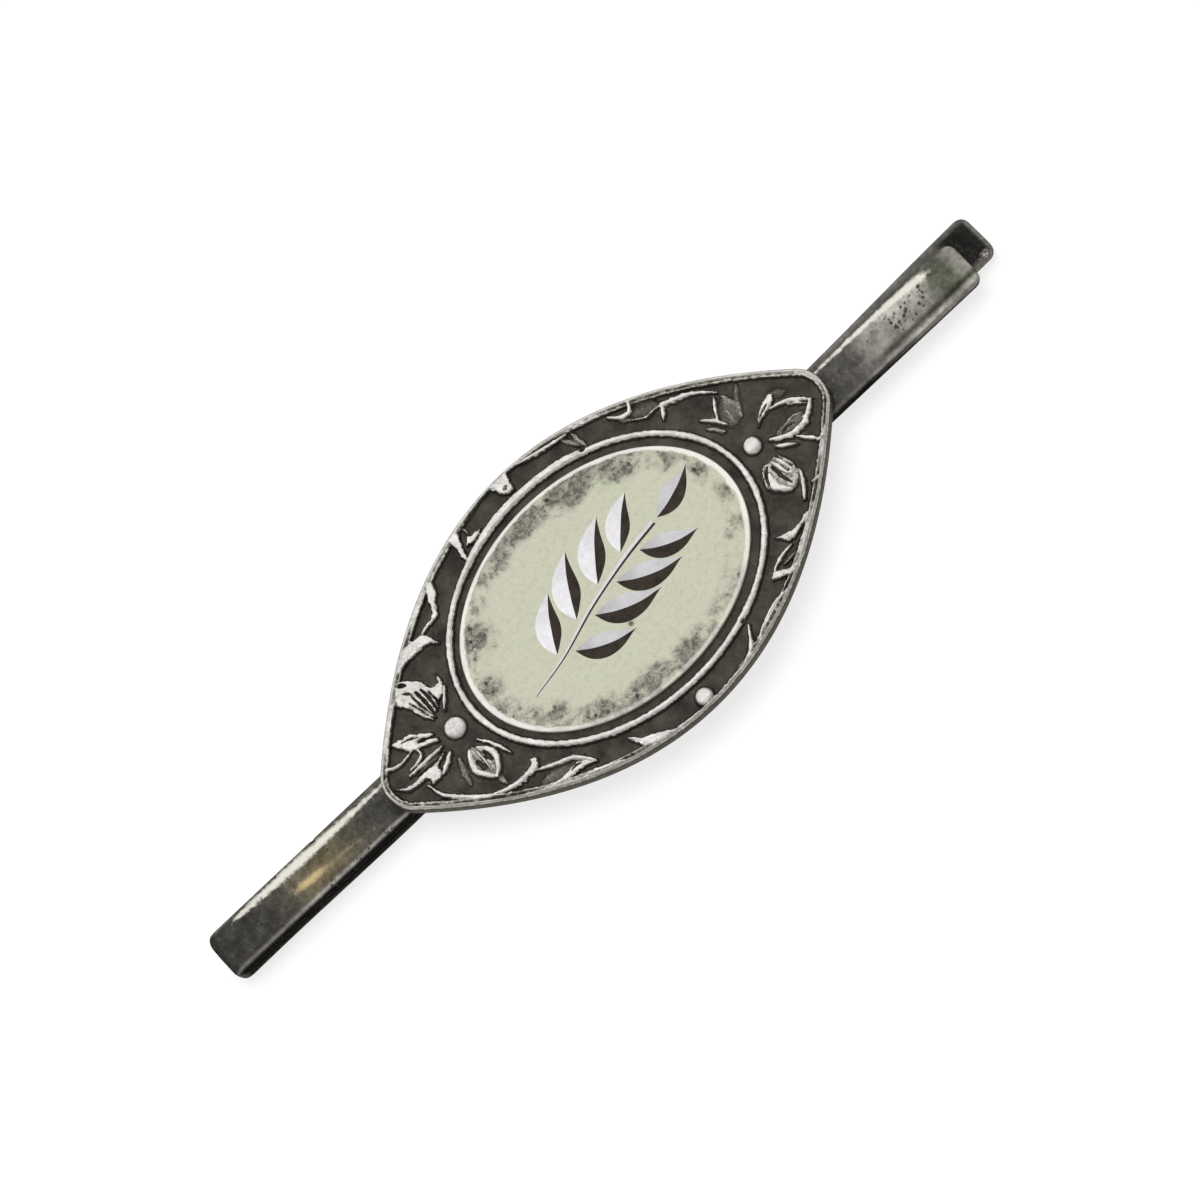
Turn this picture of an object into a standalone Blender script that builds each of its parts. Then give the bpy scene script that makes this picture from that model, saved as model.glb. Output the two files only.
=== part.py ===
"""Silver slide-on tie clip: a pointed oval plate with struck flowers, soldered to a folded strip.

The clip lies on its back. X runs along the strip, from the fold to the open end, and Z is up, out of
the plate. The origin is under the middle of the whole clip, on the surface that the rear leg lies on.
"""

import math

import bmesh
import bpy
from mathutils import Matrix, Vector

MM = 0.001

# Strip: one piece of silver, folded back on itself. Its front leg carries the plate.
STRIP_WIDTH = 2.6 * MM
STRIP_THICKNESS = 0.65 * MM
STRIP_BEVEL = 0.32 * MM
STRIP_BEVEL_DEPTH = 0.18 * MM
FRONT_LEG_REACH = 50.5 * MM
TONGUE_OVERHANG = 1.5 * MM
END_CORNER_RADIUS = 0.55 * MM

# Gap between the two legs at the fold, along the middle and at the open end.
FOLD_GAP = 0.3 * MM
TIE_GAP = 0.9 * MM
MOUTH_GAP = 0.3 * MM
FLAT_START = 12.0 * MM
FLAT_LENGTH = 26.0 * MM

# In plan the two legs splay a little, as the fold isn't quite square to the strip.
FRONT_LEG_SKEW = math.radians(-0.57)
REAR_LEG_SKEW = math.radians(0.35)

# The clip springs open about the rear leg's root by this angle. A narrow cut there clears that motion.
OPEN_ANGLE = math.radians(4.0)
ROOT_CLEARANCE = 0.02 * MM

# Plate: its long sides are parabolas that would meet at two points, which are rounded off.
PLATE_FROM_FOLD = 26.4 * MM
PLATE_POINT_SPAN = 31.2 * MM
PLATE_WIDTH = 16.2 * MM
PLATE_TIP_RADIUS = 1.8 * MM
PLATE_SKEW = math.radians(0.6)
PLATE_GROUND = 0.7 * MM
PLATE_EDGE_BEVEL = 0.12 * MM
RIM_HEIGHT = 0.35 * MM
RIM_WIDTH = 0.45 * MM
RIM_SHOULDER = 0.14 * MM

# Raised oval ring, the groove inside it, and the medallion that sits in the groove.
RING_LENGTH = 17.9 * MM
RING_BREADTH = 13.2 * MM
RING_WIDTH = 0.42 * MM
RING_HEIGHT = 0.38 * MM
GROOVE_WIDTH = 0.42 * MM
MEDALLION_THICKNESS = 0.34 * MM
MEDALLION_CROWN = 0.1 * MM
MEDALLION_BEVEL = 0.12 * MM

# Relief on the ground between ring and rim, rooted a little below the ground.
ROOT_DEPTH = 0.2 * MM
BEAD_RADIUS = 0.56 * MM
BEAD_HEIGHT = 0.48 * MM
BEAD_FROM_RIM = 0.1 * MM
PETAL_HEIGHT = 0.34 * MM
LEAF_HEIGHT = 0.3 * MM
VINE_HEIGHT = 0.22 * MM
RIDGE_FOOT = 0.3
RIDGE_POINT = 0.16

# Solder seams, one under each tip of the plate.
SOLDER_THICKNESS = 0.1 * MM
SOLDER_LENGTH = 4.5 * MM
SOLDER_FROM_TIP = 0.9 * MM
SOLDER_MARGIN = 0.12 * MM
SOLDER_TAPER = 0.7 * MM

# The heart of a blossom, as a share of the way from the ring's end (1) to the plate's tip (2).
HEART_ALONG = 1.19

# How finely the curves are cut.
OUTLINE_STEPS = 40
TIP_STEPS = 8
OVAL_STEPS = 72
BEND_STEPS = 14
RAMP_STEPS = 12
CORNER_STEPS = 5
RIDGE_STEPS = 8
CROWN_STEPS = 4

# Sizes that follow from the ones above.
FOLD_X = -(FRONT_LEG_REACH + TONGUE_OVERHANG) / 2
PLATE_X = FOLD_X + PLATE_FROM_FOLD
BEND_RADIUS = (FOLD_GAP + STRIP_THICKNESS) / 2
BEND_X = FOLD_X + BEND_RADIUS + STRIP_THICKNESS / 2
FRONT_MID_Z = STRIP_THICKNESS + TIE_GAP + STRIP_THICKNESS / 2
BEND_Z = FRONT_MID_Z - BEND_RADIUS
BEND_Y = -math.tan(FRONT_LEG_SKEW) * (PLATE_X - BEND_X)
FRONT_TOP_Z = FRONT_MID_Z + STRIP_THICKNESS / 2
PLATE_BACK_Z = FRONT_TOP_Z + SOLDER_THICKNESS
GROUND_Z = PLATE_BACK_Z + PLATE_GROUND
HINGE_GAP = STRIP_THICKNESS / 2 * math.tan(OPEN_ANGLE) + ROOT_CLEARANCE
FLAT_END = FLAT_START + FLAT_LENGTH
REAR_LEG_LENGTH = (FOLD_X + FRONT_LEG_REACH + TONGUE_OVERHANG - BEND_X) / math.cos(REAR_LEG_SKEW)


def material(name, colour, roughness, metallic):
    made = bpy.data.materials.new(name)
    made.use_nodes = True
    shader = made.node_tree.nodes["Principled BSDF"]
    shader.inputs["Base Color"].default_value = (*colour, 1.0)
    shader.inputs["Roughness"].default_value = roughness
    shader.inputs["Metallic"].default_value = metallic
    return made


def add_object(name, mesh_data, finish):
    """A node with its mesh, shaded smooth between sharp edges."""
    mesh_data.shade_smooth()
    mesh_data.set_sharp_from_angle(angle=math.radians(32))
    mesh_data.materials.append(finish)
    piece = bpy.data.objects.new(name, mesh_data)
    bpy.context.scene.collection.objects.link(piece)
    return piece


def loft(name, loops):
    """A closed mesh through loops of equal length, with a flat cap on the first and the last."""
    shape = bmesh.new()
    rings = [[shape.verts.new(point) for point in loop] for loop in loops]
    count = len(rings[0])
    for lower, upper in zip(rings, rings[1:]):
        for i in range(count):
            j = (i + 1) % count
            shape.faces.new((lower[i], lower[j], upper[j], upper[i]))
    shape.faces.new(list(reversed(rings[0])))
    shape.faces.new(rings[-1])
    bmesh.ops.recalc_face_normals(shape, faces=shape.faces)
    made = bpy.data.meshes.new(name)
    shape.to_mesh(made)
    shape.free()
    return made


def flank(x):
    """The plate's half width at distance x from its middle, and how fast it changes."""
    half_span = PLATE_POINT_SPAN / 2
    half_width = PLATE_WIDTH / 2
    y = half_width * (1 - (x / half_span) ** 2)
    slope = -2 * half_width * x / half_span**2
    return y, slope


def tip_round():
    """Where the tip's round meets the flank, as x and y, and the x of the round's centre.

    There, a line square to the flank reaches the axis after one radius.
    """
    near, far = 0.6 * PLATE_POINT_SPAN / 2, PLATE_POINT_SPAN / 2
    for _ in range(50):
        middle = (near + far) / 2
        y, slope = flank(middle)
        if y * math.hypot(1, slope) > PLATE_TIP_RADIUS:
            near = middle
        else:
            far = middle
    y, slope = flank(near)
    return near, y, near + slope * y


def plate_edge(inset):
    """The plate's outline in plan, as (x, y) from its centre, moved inwards by inset.

    The plate sits a little askew on the strip.
    """
    meet_x, meet_y, tip_centre = tip_round()
    tip_turn = math.atan2(meet_y, meet_x - tip_centre)
    points = []
    for i in range(OUTLINE_STEPS + 1):
        x = meet_x * math.cos(math.pi * i / OUTLINE_STEPS)
        y, slope = flank(x)
        normal = Vector((-slope, 1.0)).normalized()
        points.append(Vector((x, y)) - inset * normal)
    for i in range(1, TIP_STEPS):
        turn = math.pi - tip_turn + 2 * tip_turn * i / TIP_STEPS
        out = Vector((math.cos(turn), math.sin(turn)))
        points.append(Vector((-tip_centre, 0.0)) + (PLATE_TIP_RADIUS - inset) * out)
    skew = Matrix.Rotation(PLATE_SKEW, 2)
    points = [skew @ point for point in points]
    return points + [-point for point in points]


def plate_tip_x():
    """How far the rounded tips reach from the plate's centre."""
    return tip_round()[2] + PLATE_TIP_RADIUS


def oval(inset):
    """The ring's centre line in plan, moved inwards by inset."""
    half_length = RING_LENGTH / 2
    half_breadth = RING_BREADTH / 2
    points = []
    for i in range(OVAL_STEPS):
        turn = 2 * math.pi * i / OVAL_STEPS
        point = Vector((half_length * math.cos(turn), half_breadth * math.sin(turn)))
        normal = Vector((point.x / half_length**2, point.y / half_breadth**2)).normalized()
        points.append(point - inset * normal)
    return points


def at_height(points, z, shrink=1.0):
    return [Vector((PLATE_X + point.x * shrink, point.y * shrink, z)) for point in points]


def plate_blank():
    """The plate's body with its raised rim."""
    rim_top = GROUND_Z + RIM_HEIGHT
    loops = [
        at_height(plate_edge(PLATE_EDGE_BEVEL), PLATE_BACK_Z),
        at_height(plate_edge(0.0), PLATE_BACK_Z + PLATE_EDGE_BEVEL),
        at_height(plate_edge(0.0), rim_top - RIM_SHOULDER),
        at_height(plate_edge(RIM_SHOULDER), rim_top),
        at_height(plate_edge(RIM_WIDTH - RIM_SHOULDER), rim_top),
        at_height(plate_edge(RIM_WIDTH), GROUND_Z),
    ]
    return loft("face_plate", loops)


def ring_relief():
    """The raised oval ring, as a closed band rooted in the ground."""
    profile = [
        (-RING_WIDTH / 2, -ROOT_DEPTH),
        (-RING_WIDTH / 2, RING_HEIGHT * 0.55),
        (-RING_WIDTH / 5, RING_HEIGHT),
        (RING_WIDTH / 5, RING_HEIGHT),
        (RING_WIDTH / 2, RING_HEIGHT * 0.55),
        (RING_WIDTH / 2, -ROOT_DEPTH),
    ]
    shape = bmesh.new()
    bands = []
    for inset, height in profile:
        loop = at_height(oval(inset), GROUND_Z + height)
        bands.append([shape.verts.new(point) for point in loop])
    for lower, upper in zip(bands, bands[1:] + bands[:1]):
        for i in range(OVAL_STEPS):
            j = (i + 1) % OVAL_STEPS
            shape.faces.new((lower[i], lower[j], upper[j], upper[i]))
    bmesh.ops.recalc_face_normals(shape, faces=shape.faces)
    made = bpy.data.meshes.new("ring_relief")
    shape.to_mesh(made)
    shape.free()
    return made


def ridge_relief(name, start, control, end, width, height, pointed):
    """A leaf, petal or vine: a ridge along a curve in plan, widest in its middle where it is pointed."""
    loops = []
    for i in range(RIDGE_STEPS + 1):
        t = i / RIDGE_STEPS
        place = (1 - t) ** 2 * start + 2 * t * (1 - t) * control + t**2 * end
        along = ((1 - t) * (control - start) + t * (end - control)).normalized()
        across = Vector((-along.y, along.x))
        swell = RIDGE_POINT + (1 - RIDGE_POINT) * math.sin(math.pi * t) if pointed else 1.0
        half = width / 2 * swell
        crest = height * (1 + swell) / 2
        low = crest * RIDGE_FOOT
        section = [(-half, -ROOT_DEPTH), (-half, low), (0.0, crest), (half, low), (half, -ROOT_DEPTH)]
        loops.append(
            [
                Vector((PLATE_X + place.x + across.x * u, place.y + across.y * u, GROUND_Z + v))
                for u, v in section
            ]
        )
    return loft(name, loops)


def bead_relief(name, centre):
    """A domed bead, rooted in the ground."""
    shape = bmesh.new()
    bmesh.ops.create_uvsphere(shape, u_segments=20, v_segments=10, radius=BEAD_RADIUS)
    bmesh.ops.scale(shape, vec=(1.0, 1.0, BEAD_HEIGHT / BEAD_RADIUS), verts=shape.verts)
    bmesh.ops.translate(shape, vec=(PLATE_X + centre.x, centre.y, GROUND_Z), verts=shape.verts)
    made = bpy.data.meshes.new(name)
    shape.to_mesh(made)
    shape.free()
    return made


def border_x(along):
    """From the plate's middle: 1 is the ring's end, and 2 is the plate's tip."""
    ring_end = RING_LENGTH / 2
    reach = abs(along) * ring_end
    if abs(along) > 1:
        reach = ring_end + (abs(along) - 1) * (plate_tip_x() - ring_end)
    return math.copysign(reach, along)


def rim_inside(x):
    """The y of the rim's inner edge at x."""
    return flank(x)[0] - RIM_WIDTH


def border_point(along, out, side):
    """A point on the border. out runs from 0 on the ring, or on the axis past its ends, to 1 at the rim."""
    x = border_x(along)
    ring_y = RING_BREADTH / 2 * math.sqrt(max(0.0, 1 - (2 * x / RING_LENGTH) ** 2))
    return Vector((x, side * (ring_y + out * (rim_inside(x) - ring_y))))


def blossom(side):
    """Petals round the bead at one end of the plate: up, down, and two towards the tip."""
    heart = Vector((border_x(side * HEART_ALONG), 0.0))
    room = plate_tip_x() - RING_LENGTH / 2
    half = rim_inside(heart.x)
    petals = [
        ("up", (0.02, 0.27), (0.04, 0.55), (0.1, 0.88), 0.47),
        ("up_inner", (-0.06, 0.3), (-0.1, 0.45), (-0.16, 0.68), 0.13),
        ("down", (0.0, -0.25), (0.0, -0.5), (0.02, -0.8), 0.42),
        ("tip_upper", (0.17, 0.15), (0.38, 0.3), (0.62, 0.09), 0.24),
        ("tip_lower", (0.17, -0.11), (0.38, -0.25), (0.62, -0.08), 0.24),
        ("midrib", (0.19, 0.02), (0.35, 0.02), (0.52, 0.01), 0.07),
    ]
    shapes = []
    for name, *places, width in petals:
        points = [heart + Vector((side * room * along, half * up)) for along, up in places]
        label = f"petal_{name}_{'right' if side > 0 else 'left'}"
        shapes.append(ridge_relief(label, *points, width * half, PETAL_HEIGHT, True))
    return shapes


def foliage():
    """Leaves and vines: each has a side of the plate, three places and a width in millimetres."""
    leaves = [
        ("leaf_top_left", 1, (-1.17, 0.98), (-0.99, 1.13), (-0.84, 0.3), 0.8),
        ("leaf_top_left_inner", 1, (-0.89, 0.82), (-0.77, 0.6), (-0.66, 1.04), 0.55),
        ("stem_top_left", 1, (-0.46, 1.2), (-0.41, 0.94), (-0.38, 0.43), 0.5),
        ("leaf_low_left", -1, (-1.24, 1.0), (-1.02, 0.94), (-0.9, 0.36), 0.5),
        ("leaf_low_left_inner", -1, (-1.09, 1.02), (-0.86, 0.72), (-0.68, 0.76), 0.85),
        ("leaf_low_right", -1, (0.86, 0.35), (0.96, 1.01), (1.17, 1.08), 0.6),
        ("leaf_low_right_inner", -1, (0.68, 0.49), (0.83, 1.16), (1.0, 1.1), 0.7),
        ("leaf_low_right_long", -1, (0.4, 1.0), (0.59, 1.3), (0.78, 1.2), 0.45),
        ("leaf_top_right", 1, (0.63, 1.1), (0.72, 1.3), (0.81, 1.1), 0.5),
    ]
    vines = [
        ("vine_top_right", 1, (0.89, 0.61), (1.05, 1.15), (1.31, 0.98), 0.28),
        ("vine_top_centre", 1, (0.43, 1.15), (0.48, 0.91), (0.47, 0.21), 0.32),
        ("vine_low_left", -1, (-1.69, 0.66), (-1.57, 1.27), (-1.17, 0.98), 0.26),
        ("vine_low_centre_left", -1, (-0.49, 0.27), (-0.38, 1.05), (-0.19, 1.05), 0.28),
        ("vine_low_centre_right", -1, (0.44, 0.15), (0.38, 0.87), (0.21, 1.07), 0.3),
        ("vine_low_right", -1, (1.54, 0.37), (1.55, 0.68), (1.69, 1.14), 0.26),
    ]
    shapes = []
    for group, height, pointed in ((leaves, LEAF_HEIGHT, True), (vines, VINE_HEIGHT, False)):
        for name, side, *places, width in group:
            points = [border_point(along, out, side) for along, out in places]
            shapes.append(ridge_relief(name, *points, width * MM, height, pointed))
    return shapes


def beads():
    """One bead in each blossom and one at the middle of each long side, against the rim."""
    heart_x = border_x(HEART_ALONG)
    side_y = rim_inside(0.0) - BEAD_FROM_RIM
    places = {
        "bead_left": Vector((-heart_x, 0.0)),
        "bead_right": Vector((heart_x, 0.0)),
        "bead_top": Vector((0.0, side_y)),
        "bead_low": Vector((0.0, -side_y)),
    }
    return [bead_relief(name, centre) for name, centre in places.items()]


def face_plate(finish):
    """The struck plate: blank and rim, joined with the ring, the blossoms, the foliage and the beads."""
    plate = add_object("face_plate", plate_blank(), finish)
    relief = [ring_relief()] + blossom(-1) + blossom(1) + foliage() + beads()
    for shape in relief:
        tool = bpy.data.objects.new(shape.name, shape)
        bpy.context.scene.collection.objects.link(tool)
        tool.hide_render = True
        tool.display_type = "WIRE"
        join = plate.modifiers.new(shape.name, "BOOLEAN")
        join.operation = "UNION"
        join.solver = "EXACT"
        join.object = tool
    return plate


def medallion(finish):
    """The smooth oval tablet, seated on the ground inside the groove."""
    edge = RING_WIDTH / 2 + GROOVE_WIDTH
    top = GROUND_Z + MEDALLION_THICKNESS
    inner = oval(edge + MEDALLION_BEVEL)
    loops = [
        at_height(oval(edge), GROUND_Z),
        at_height(oval(edge), top - MEDALLION_BEVEL),
        at_height(inner, top),
    ]
    for i in range(1, CROWN_STEPS):
        share = 1 - i / CROWN_STEPS
        loops.append(at_height(inner, top + MEDALLION_CROWN * (1 - share**2), share))
    return add_object("medallion", loft("medallion", loops), finish)


def solder_seam(name, side, finish):
    """A film of solder between the front leg and the plate's back, under one tip."""
    outer = side * (plate_tip_x() - SOLDER_FROM_TIP)
    inner = outer - side * SOLDER_LENGTH
    half = STRIP_WIDTH / 2 - STRIP_BEVEL - SOLDER_MARGIN
    slope = math.tan(FRONT_LEG_SKEW)
    full = outer - side * SOLDER_TAPER
    corners = [(outer, -half / 2), (outer, half / 2), (full, half)]
    corners += [(inner, half), (inner, -half), (full, -half)]
    loops = [
        [Vector((PLATE_X + x, y + slope * x, z)) for x, y in corners]
        for z in (FRONT_TOP_Z, PLATE_BACK_Z)
    ]
    return add_object(name, loft(name, loops), finish)


def strip_section(half_width):
    """The strip's section as (across, outward): flat inside, its two outer edges bevelled."""
    half = STRIP_THICKNESS / 2
    shoulder = half_width - STRIP_BEVEL
    return [
        (-half_width, -half),
        (half_width, -half),
        (half_width, half - STRIP_BEVEL_DEPTH),
        (shoulder, half),
        (-shoulder, half),
        (-half_width, half - STRIP_BEVEL_DEPTH),
    ]


def strip_mesh(name, stations, origin):
    """The strip along stations of (place, across, outward, half width), relative to origin."""
    loops = []
    for place, across, outward, half_width in stations:
        section = strip_section(half_width)
        loops.append([place - origin + across * u + outward * v for u, v in section])
    return loft(name, loops)


def plan_axes(skew):
    """The directions along and across a leg that is turned by skew in plan."""
    along = Vector((math.cos(skew), math.sin(skew), 0.0))
    across = Vector((-math.sin(skew), math.cos(skew), 0.0))
    return along, across


def rounded_end(length):
    """(distance along, half width) pairs that round off the two corners of a leg's free end."""
    pairs = []
    for i in range(CORNER_STEPS + 1):
        turn = math.pi / 2 * i / CORNER_STEPS
        back = END_CORNER_RADIUS * (1 - math.sin(turn))
        draw_in = END_CORNER_RADIUS * (1 - math.cos(turn))
        pairs.append((length - back, STRIP_WIDTH / 2 - draw_in))
    return pairs


def front_leg(finish):
    """The leg under the plate, straight from the bend to its free end."""
    along, across = plan_axes(FRONT_LEG_SKEW)
    start = Vector((BEND_X, BEND_Y, FRONT_MID_Z))
    length = FOLD_X + FRONT_LEG_REACH - BEND_X
    spots = [(0.0, STRIP_WIDTH / 2)] + rounded_end(length)
    up = Vector((0.0, 0.0, 1.0))
    stations = [(start + along * s, across, up, half) for s, half in spots]
    return add_object("front_leg", strip_mesh("front_leg", stations, Vector()), finish)


def hairpin_bend(finish):
    """The fold, from the front leg round to the rear leg's root."""
    stations = []
    for i in range(BEND_STEPS + 1):
        share = i / BEND_STEPS
        turn = math.pi * share
        along, across = plan_axes(FRONT_LEG_SKEW + (REAR_LEG_SKEW - FRONT_LEG_SKEW) * share)
        outward = Vector((0.0, 0.0, math.cos(turn))) - along * math.sin(turn)
        centre = Vector((BEND_X, BEND_Y, BEND_Z))
        stations.append((centre + outward * BEND_RADIUS, across, outward, STRIP_WIDTH / 2))
    return add_object("hairpin_bend", strip_mesh("hairpin_bend", stations, Vector()), finish)


def ramp(height, run, distance):
    """A smooth rise to height over run: how high it is at distance from its foot, and how steep."""
    turn = math.pi * distance / run
    return height * (1 - math.cos(turn)) / 2, height * math.pi / (2 * run) * math.sin(turn)


def tongue_station(s, half_width):
    """The rear leg's section at distance s from its root: it dips away from the front leg in its middle."""
    along, across = plan_axes(REAR_LEG_SKEW)
    lift, rise = 0.0, 0.0
    if s < FLAT_START:
        lift, fall = ramp(TIE_GAP - FOLD_GAP, FLAT_START - HINGE_GAP, FLAT_START - s)
        rise = -fall
    elif s > FLAT_END:
        lift, rise = ramp(TIE_GAP - MOUTH_GAP, REAR_LEG_LENGTH - FLAT_END, s - FLAT_END)
    pitch = math.atan(rise)
    place = Vector((BEND_X, BEND_Y, STRIP_THICKNESS / 2 + lift)) + along * s
    outward = along * math.sin(pitch) - Vector((0.0, 0.0, math.cos(pitch)))
    return place, across, outward, half_width


def rear_leg(finish):
    """The spring tongue: down from the fold, flat in its middle, up again to the mouth of the clip.

    Its three lengths meet face to face, and each has its origin on the line that the clip opens about.
    """
    hinge = tongue_station(HINGE_GAP, STRIP_WIDTH / 2)[0]
    half = STRIP_WIDTH / 2
    root_step = (FLAT_START - HINGE_GAP) / RAMP_STEPS
    tip_step = (REAR_LEG_LENGTH - END_CORNER_RADIUS - FLAT_END) / RAMP_STEPS
    steps = range(RAMP_STEPS)
    lengths = {
        "rear_leg_root": [(HINGE_GAP + root_step * i, half) for i in steps] + [(FLAT_START, half)],
        "rear_leg_middle": [(FLAT_START, half), (FLAT_END, half)],
        "rear_leg_tip": [(FLAT_END + tip_step * i, half) for i in steps] + rounded_end(REAR_LEG_LENGTH),
    }
    for name, spots in lengths.items():
        stations = [tongue_station(s, half_width) for s, half_width in spots]
        piece = add_object(name, strip_mesh(name, stations, hinge), finish)
        piece.location = hinge


def hang_on_pivot(pieces):
    """The front of the clip moves as one, on an empty at the line that the clip opens about."""
    pivot = bpy.data.objects.new("front_pivot", None)
    bpy.context.scene.collection.objects.link(pivot)
    pivot.location = tongue_station(HINGE_GAP, STRIP_WIDTH / 2)[0]
    for piece in pieces:
        piece.parent = pivot
        piece.location = -pivot.location


def build():
    for old in list(bpy.data.objects):
        bpy.data.objects.remove(old, do_unlink=True)
    oxidised = material("oxidised_silver", (0.42, 0.40, 0.36), 0.38, 1.0)
    polished = material("worn_silver", (0.80, 0.79, 0.72), 0.28, 1.0)
    strip = material("strip_silver", (0.34, 0.33, 0.30), 0.30, 1.0)
    solder = material("solder_silver", (0.55, 0.54, 0.50), 0.40, 1.0)
    front = [
        face_plate(oxidised),
        medallion(polished),
        solder_seam("solder_fold_side", -1, solder),
        solder_seam("solder_open_side", 1, solder),
        front_leg(strip),
        hairpin_bend(strip),
    ]
    hang_on_pivot(front)
    rear_leg(strip)


build()
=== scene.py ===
# %% [markdown]
# # An old silver tie clip
#
# This lesson dresses a tie clip around a measured frame. The clip is a springy silver strip, folded
# back on itself, with a struck plate of flowers soldered across its front and a smooth oval tablet
# set in the plate's middle. The frame holds the plain solids that move and collide. Everything that
# is seen is made here: the relief, the wear on its high spots, the black oxide in its hollows, the
# engraving with its walls painted lit and in shade, the tarnish on the strip with painted light and
# shade in it, the light and the camera.
#
# Jewellery is easiest to think about in millimetres, while Blender's own unit here is the metre. So
# shapes are worked out in millimetres and multiplied by MM where they become a mesh.

# %% Load the frame
import math
import random

import bmesh
import bpy
import numpy as np
from mathutils import Matrix, Vector, noise


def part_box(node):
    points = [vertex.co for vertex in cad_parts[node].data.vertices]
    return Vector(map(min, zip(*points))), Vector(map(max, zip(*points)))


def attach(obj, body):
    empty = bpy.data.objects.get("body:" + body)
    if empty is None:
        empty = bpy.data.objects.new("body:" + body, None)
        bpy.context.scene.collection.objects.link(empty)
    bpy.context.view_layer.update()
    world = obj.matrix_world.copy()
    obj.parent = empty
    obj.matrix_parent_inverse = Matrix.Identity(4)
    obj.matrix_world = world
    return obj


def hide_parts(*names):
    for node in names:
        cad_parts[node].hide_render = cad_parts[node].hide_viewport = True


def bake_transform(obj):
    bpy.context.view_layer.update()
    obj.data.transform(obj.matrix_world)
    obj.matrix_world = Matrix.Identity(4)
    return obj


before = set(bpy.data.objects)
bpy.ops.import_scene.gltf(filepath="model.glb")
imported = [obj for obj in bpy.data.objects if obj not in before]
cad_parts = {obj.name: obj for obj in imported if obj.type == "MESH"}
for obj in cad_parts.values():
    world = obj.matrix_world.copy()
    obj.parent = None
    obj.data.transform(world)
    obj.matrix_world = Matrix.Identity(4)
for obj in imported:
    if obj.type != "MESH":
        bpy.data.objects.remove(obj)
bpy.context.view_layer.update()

MM = 0.001

# %% [markdown]
# A piece that is dressed has to lie exactly where its solid lies, or it would float or sink when the
# clip moves. So the places that matter are read from the frame and not typed in: where the plate's
# back lies, how high the ground of the relief is, and where the plate's middle is. The ground is the
# flat bottom between the leaves, and the tablet's solid stands on it.

# %% Places read from the frame
def box_mm(node):
    """The lowest and highest corner of a node of the frame, in millimetres."""
    low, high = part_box(node)
    return np.array(low) / MM, np.array(high) / MM


plate_low, plate_high = box_mm("face_plate")
medallion_low, medallion_high = box_mm("medallion")
PLATE_X = (plate_low[0] + plate_high[0]) / 2
PLATE_HALF_WIDTH = plate_high[1]
BACK_Z = plate_low[2]
GROUND_Z = medallion_low[2]
print("plate's middle:", round(PLATE_X, 3), "back:", round(BACK_Z, 3), "ground:", round(GROUND_Z, 3))

# %% [markdown]
# ## The plate's outline
#
# The plate was sawn or stamped to a pointed oval. Two arcs of a circle would be the usual way to draw
# one, but the real sides are a little straighter towards the tips. So each long side is a parabola, and
# the two points where the parabolas would meet are rounded off. One function gives the side's height
# above the long axis, and the tip's circle is found where a line square to the side reaches the axis
# after one radius. The outline is turned by a little over half a degree, as the plate sits askew.

# %% Outline of the plate
POINT_SPAN = 31.2
TIP_RADIUS = 1.8
PLATE_SKEW = math.radians(0.6)
SKEW_COS, SKEW_SIN = math.cos(PLATE_SKEW), math.sin(PLATE_SKEW)
# drawn in by a hair, so that rounding never carries the edge past the solid plate
JUST_INSIDE = 0.9999


def flank(x):
    """The plate's half width at x from its middle, and how fast it changes."""
    half_span = POINT_SPAN / 2
    return PLATE_HALF_WIDTH * (1 - (x / half_span) ** 2), -2 * PLATE_HALF_WIDTH * x / half_span**2


def tip_meeting():
    """The x where a side turns into the tip's circle."""
    near, far = 0.3 * POINT_SPAN, 0.5 * POINT_SPAN
    for _ in range(50):
        middle = (near + far) / 2
        y, slope = flank(middle)
        near, far = (middle, far) if y * math.hypot(1, slope) > TIP_RADIUS else (near, middle)
    return near


MEET_X = tip_meeting()
MEET_Y, MEET_SLOPE = flank(MEET_X)
TIP_CENTRE = MEET_X + MEET_SLOPE * MEET_Y


def outline(count):
    """The outline as count points at even steps, anticlockwise from the right tip."""
    turn = math.atan2(MEET_Y, MEET_X - TIP_CENTRE)
    turns = np.linspace(0, turn, 60)
    side_x = np.linspace(MEET_X, 0, 600)[1:]
    x = np.append(TIP_CENTRE + TIP_RADIUS * np.cos(turns), side_x)
    y = np.append(TIP_RADIUS * np.sin(turns), flank(side_x)[0])
    quarter = np.stack([x, y], axis=1)
    half = np.concatenate([quarter, quarter[-2::-1] * [-1, 1]])
    whole = np.concatenate([half, half[-2:0:-1] * [1, -1], half[:1]])
    walked = np.append(0, np.cumsum(np.linalg.norm(np.diff(whole, axis=0), axis=1)))
    steps = np.linspace(0, walked[-1], count, endpoint=False)
    even = np.stack([np.interp(steps, walked, whole[:, axis]) for axis in (0, 1)], axis=1)
    return even @ np.array([[SKEW_COS, SKEW_SIN], [-SKEW_SIN, SKEW_COS]]) * JUST_INSIDE


def inset_of(x, y):
    """How far a point of the plate lies inside its outline."""
    x, y = x * SKEW_COS + y * SKEW_SIN, y * SKEW_COS - x * SKEW_SIN
    side, slope = flank(np.abs(x))
    from_side = (side - np.abs(y)) / np.hypot(1, slope)
    from_tip = TIP_RADIUS - np.hypot(np.abs(x) - TIP_CENTRE, y)
    past = np.abs(x) - TIP_CENTRE > np.abs(y) * (MEET_X - TIP_CENTRE) / MEET_Y
    return np.where(past, from_tip, from_side)


print("the outline reaches", outline(8).max(axis=0).round(3), "and the tip's centre is", round(TIP_CENTRE, 3))

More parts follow.
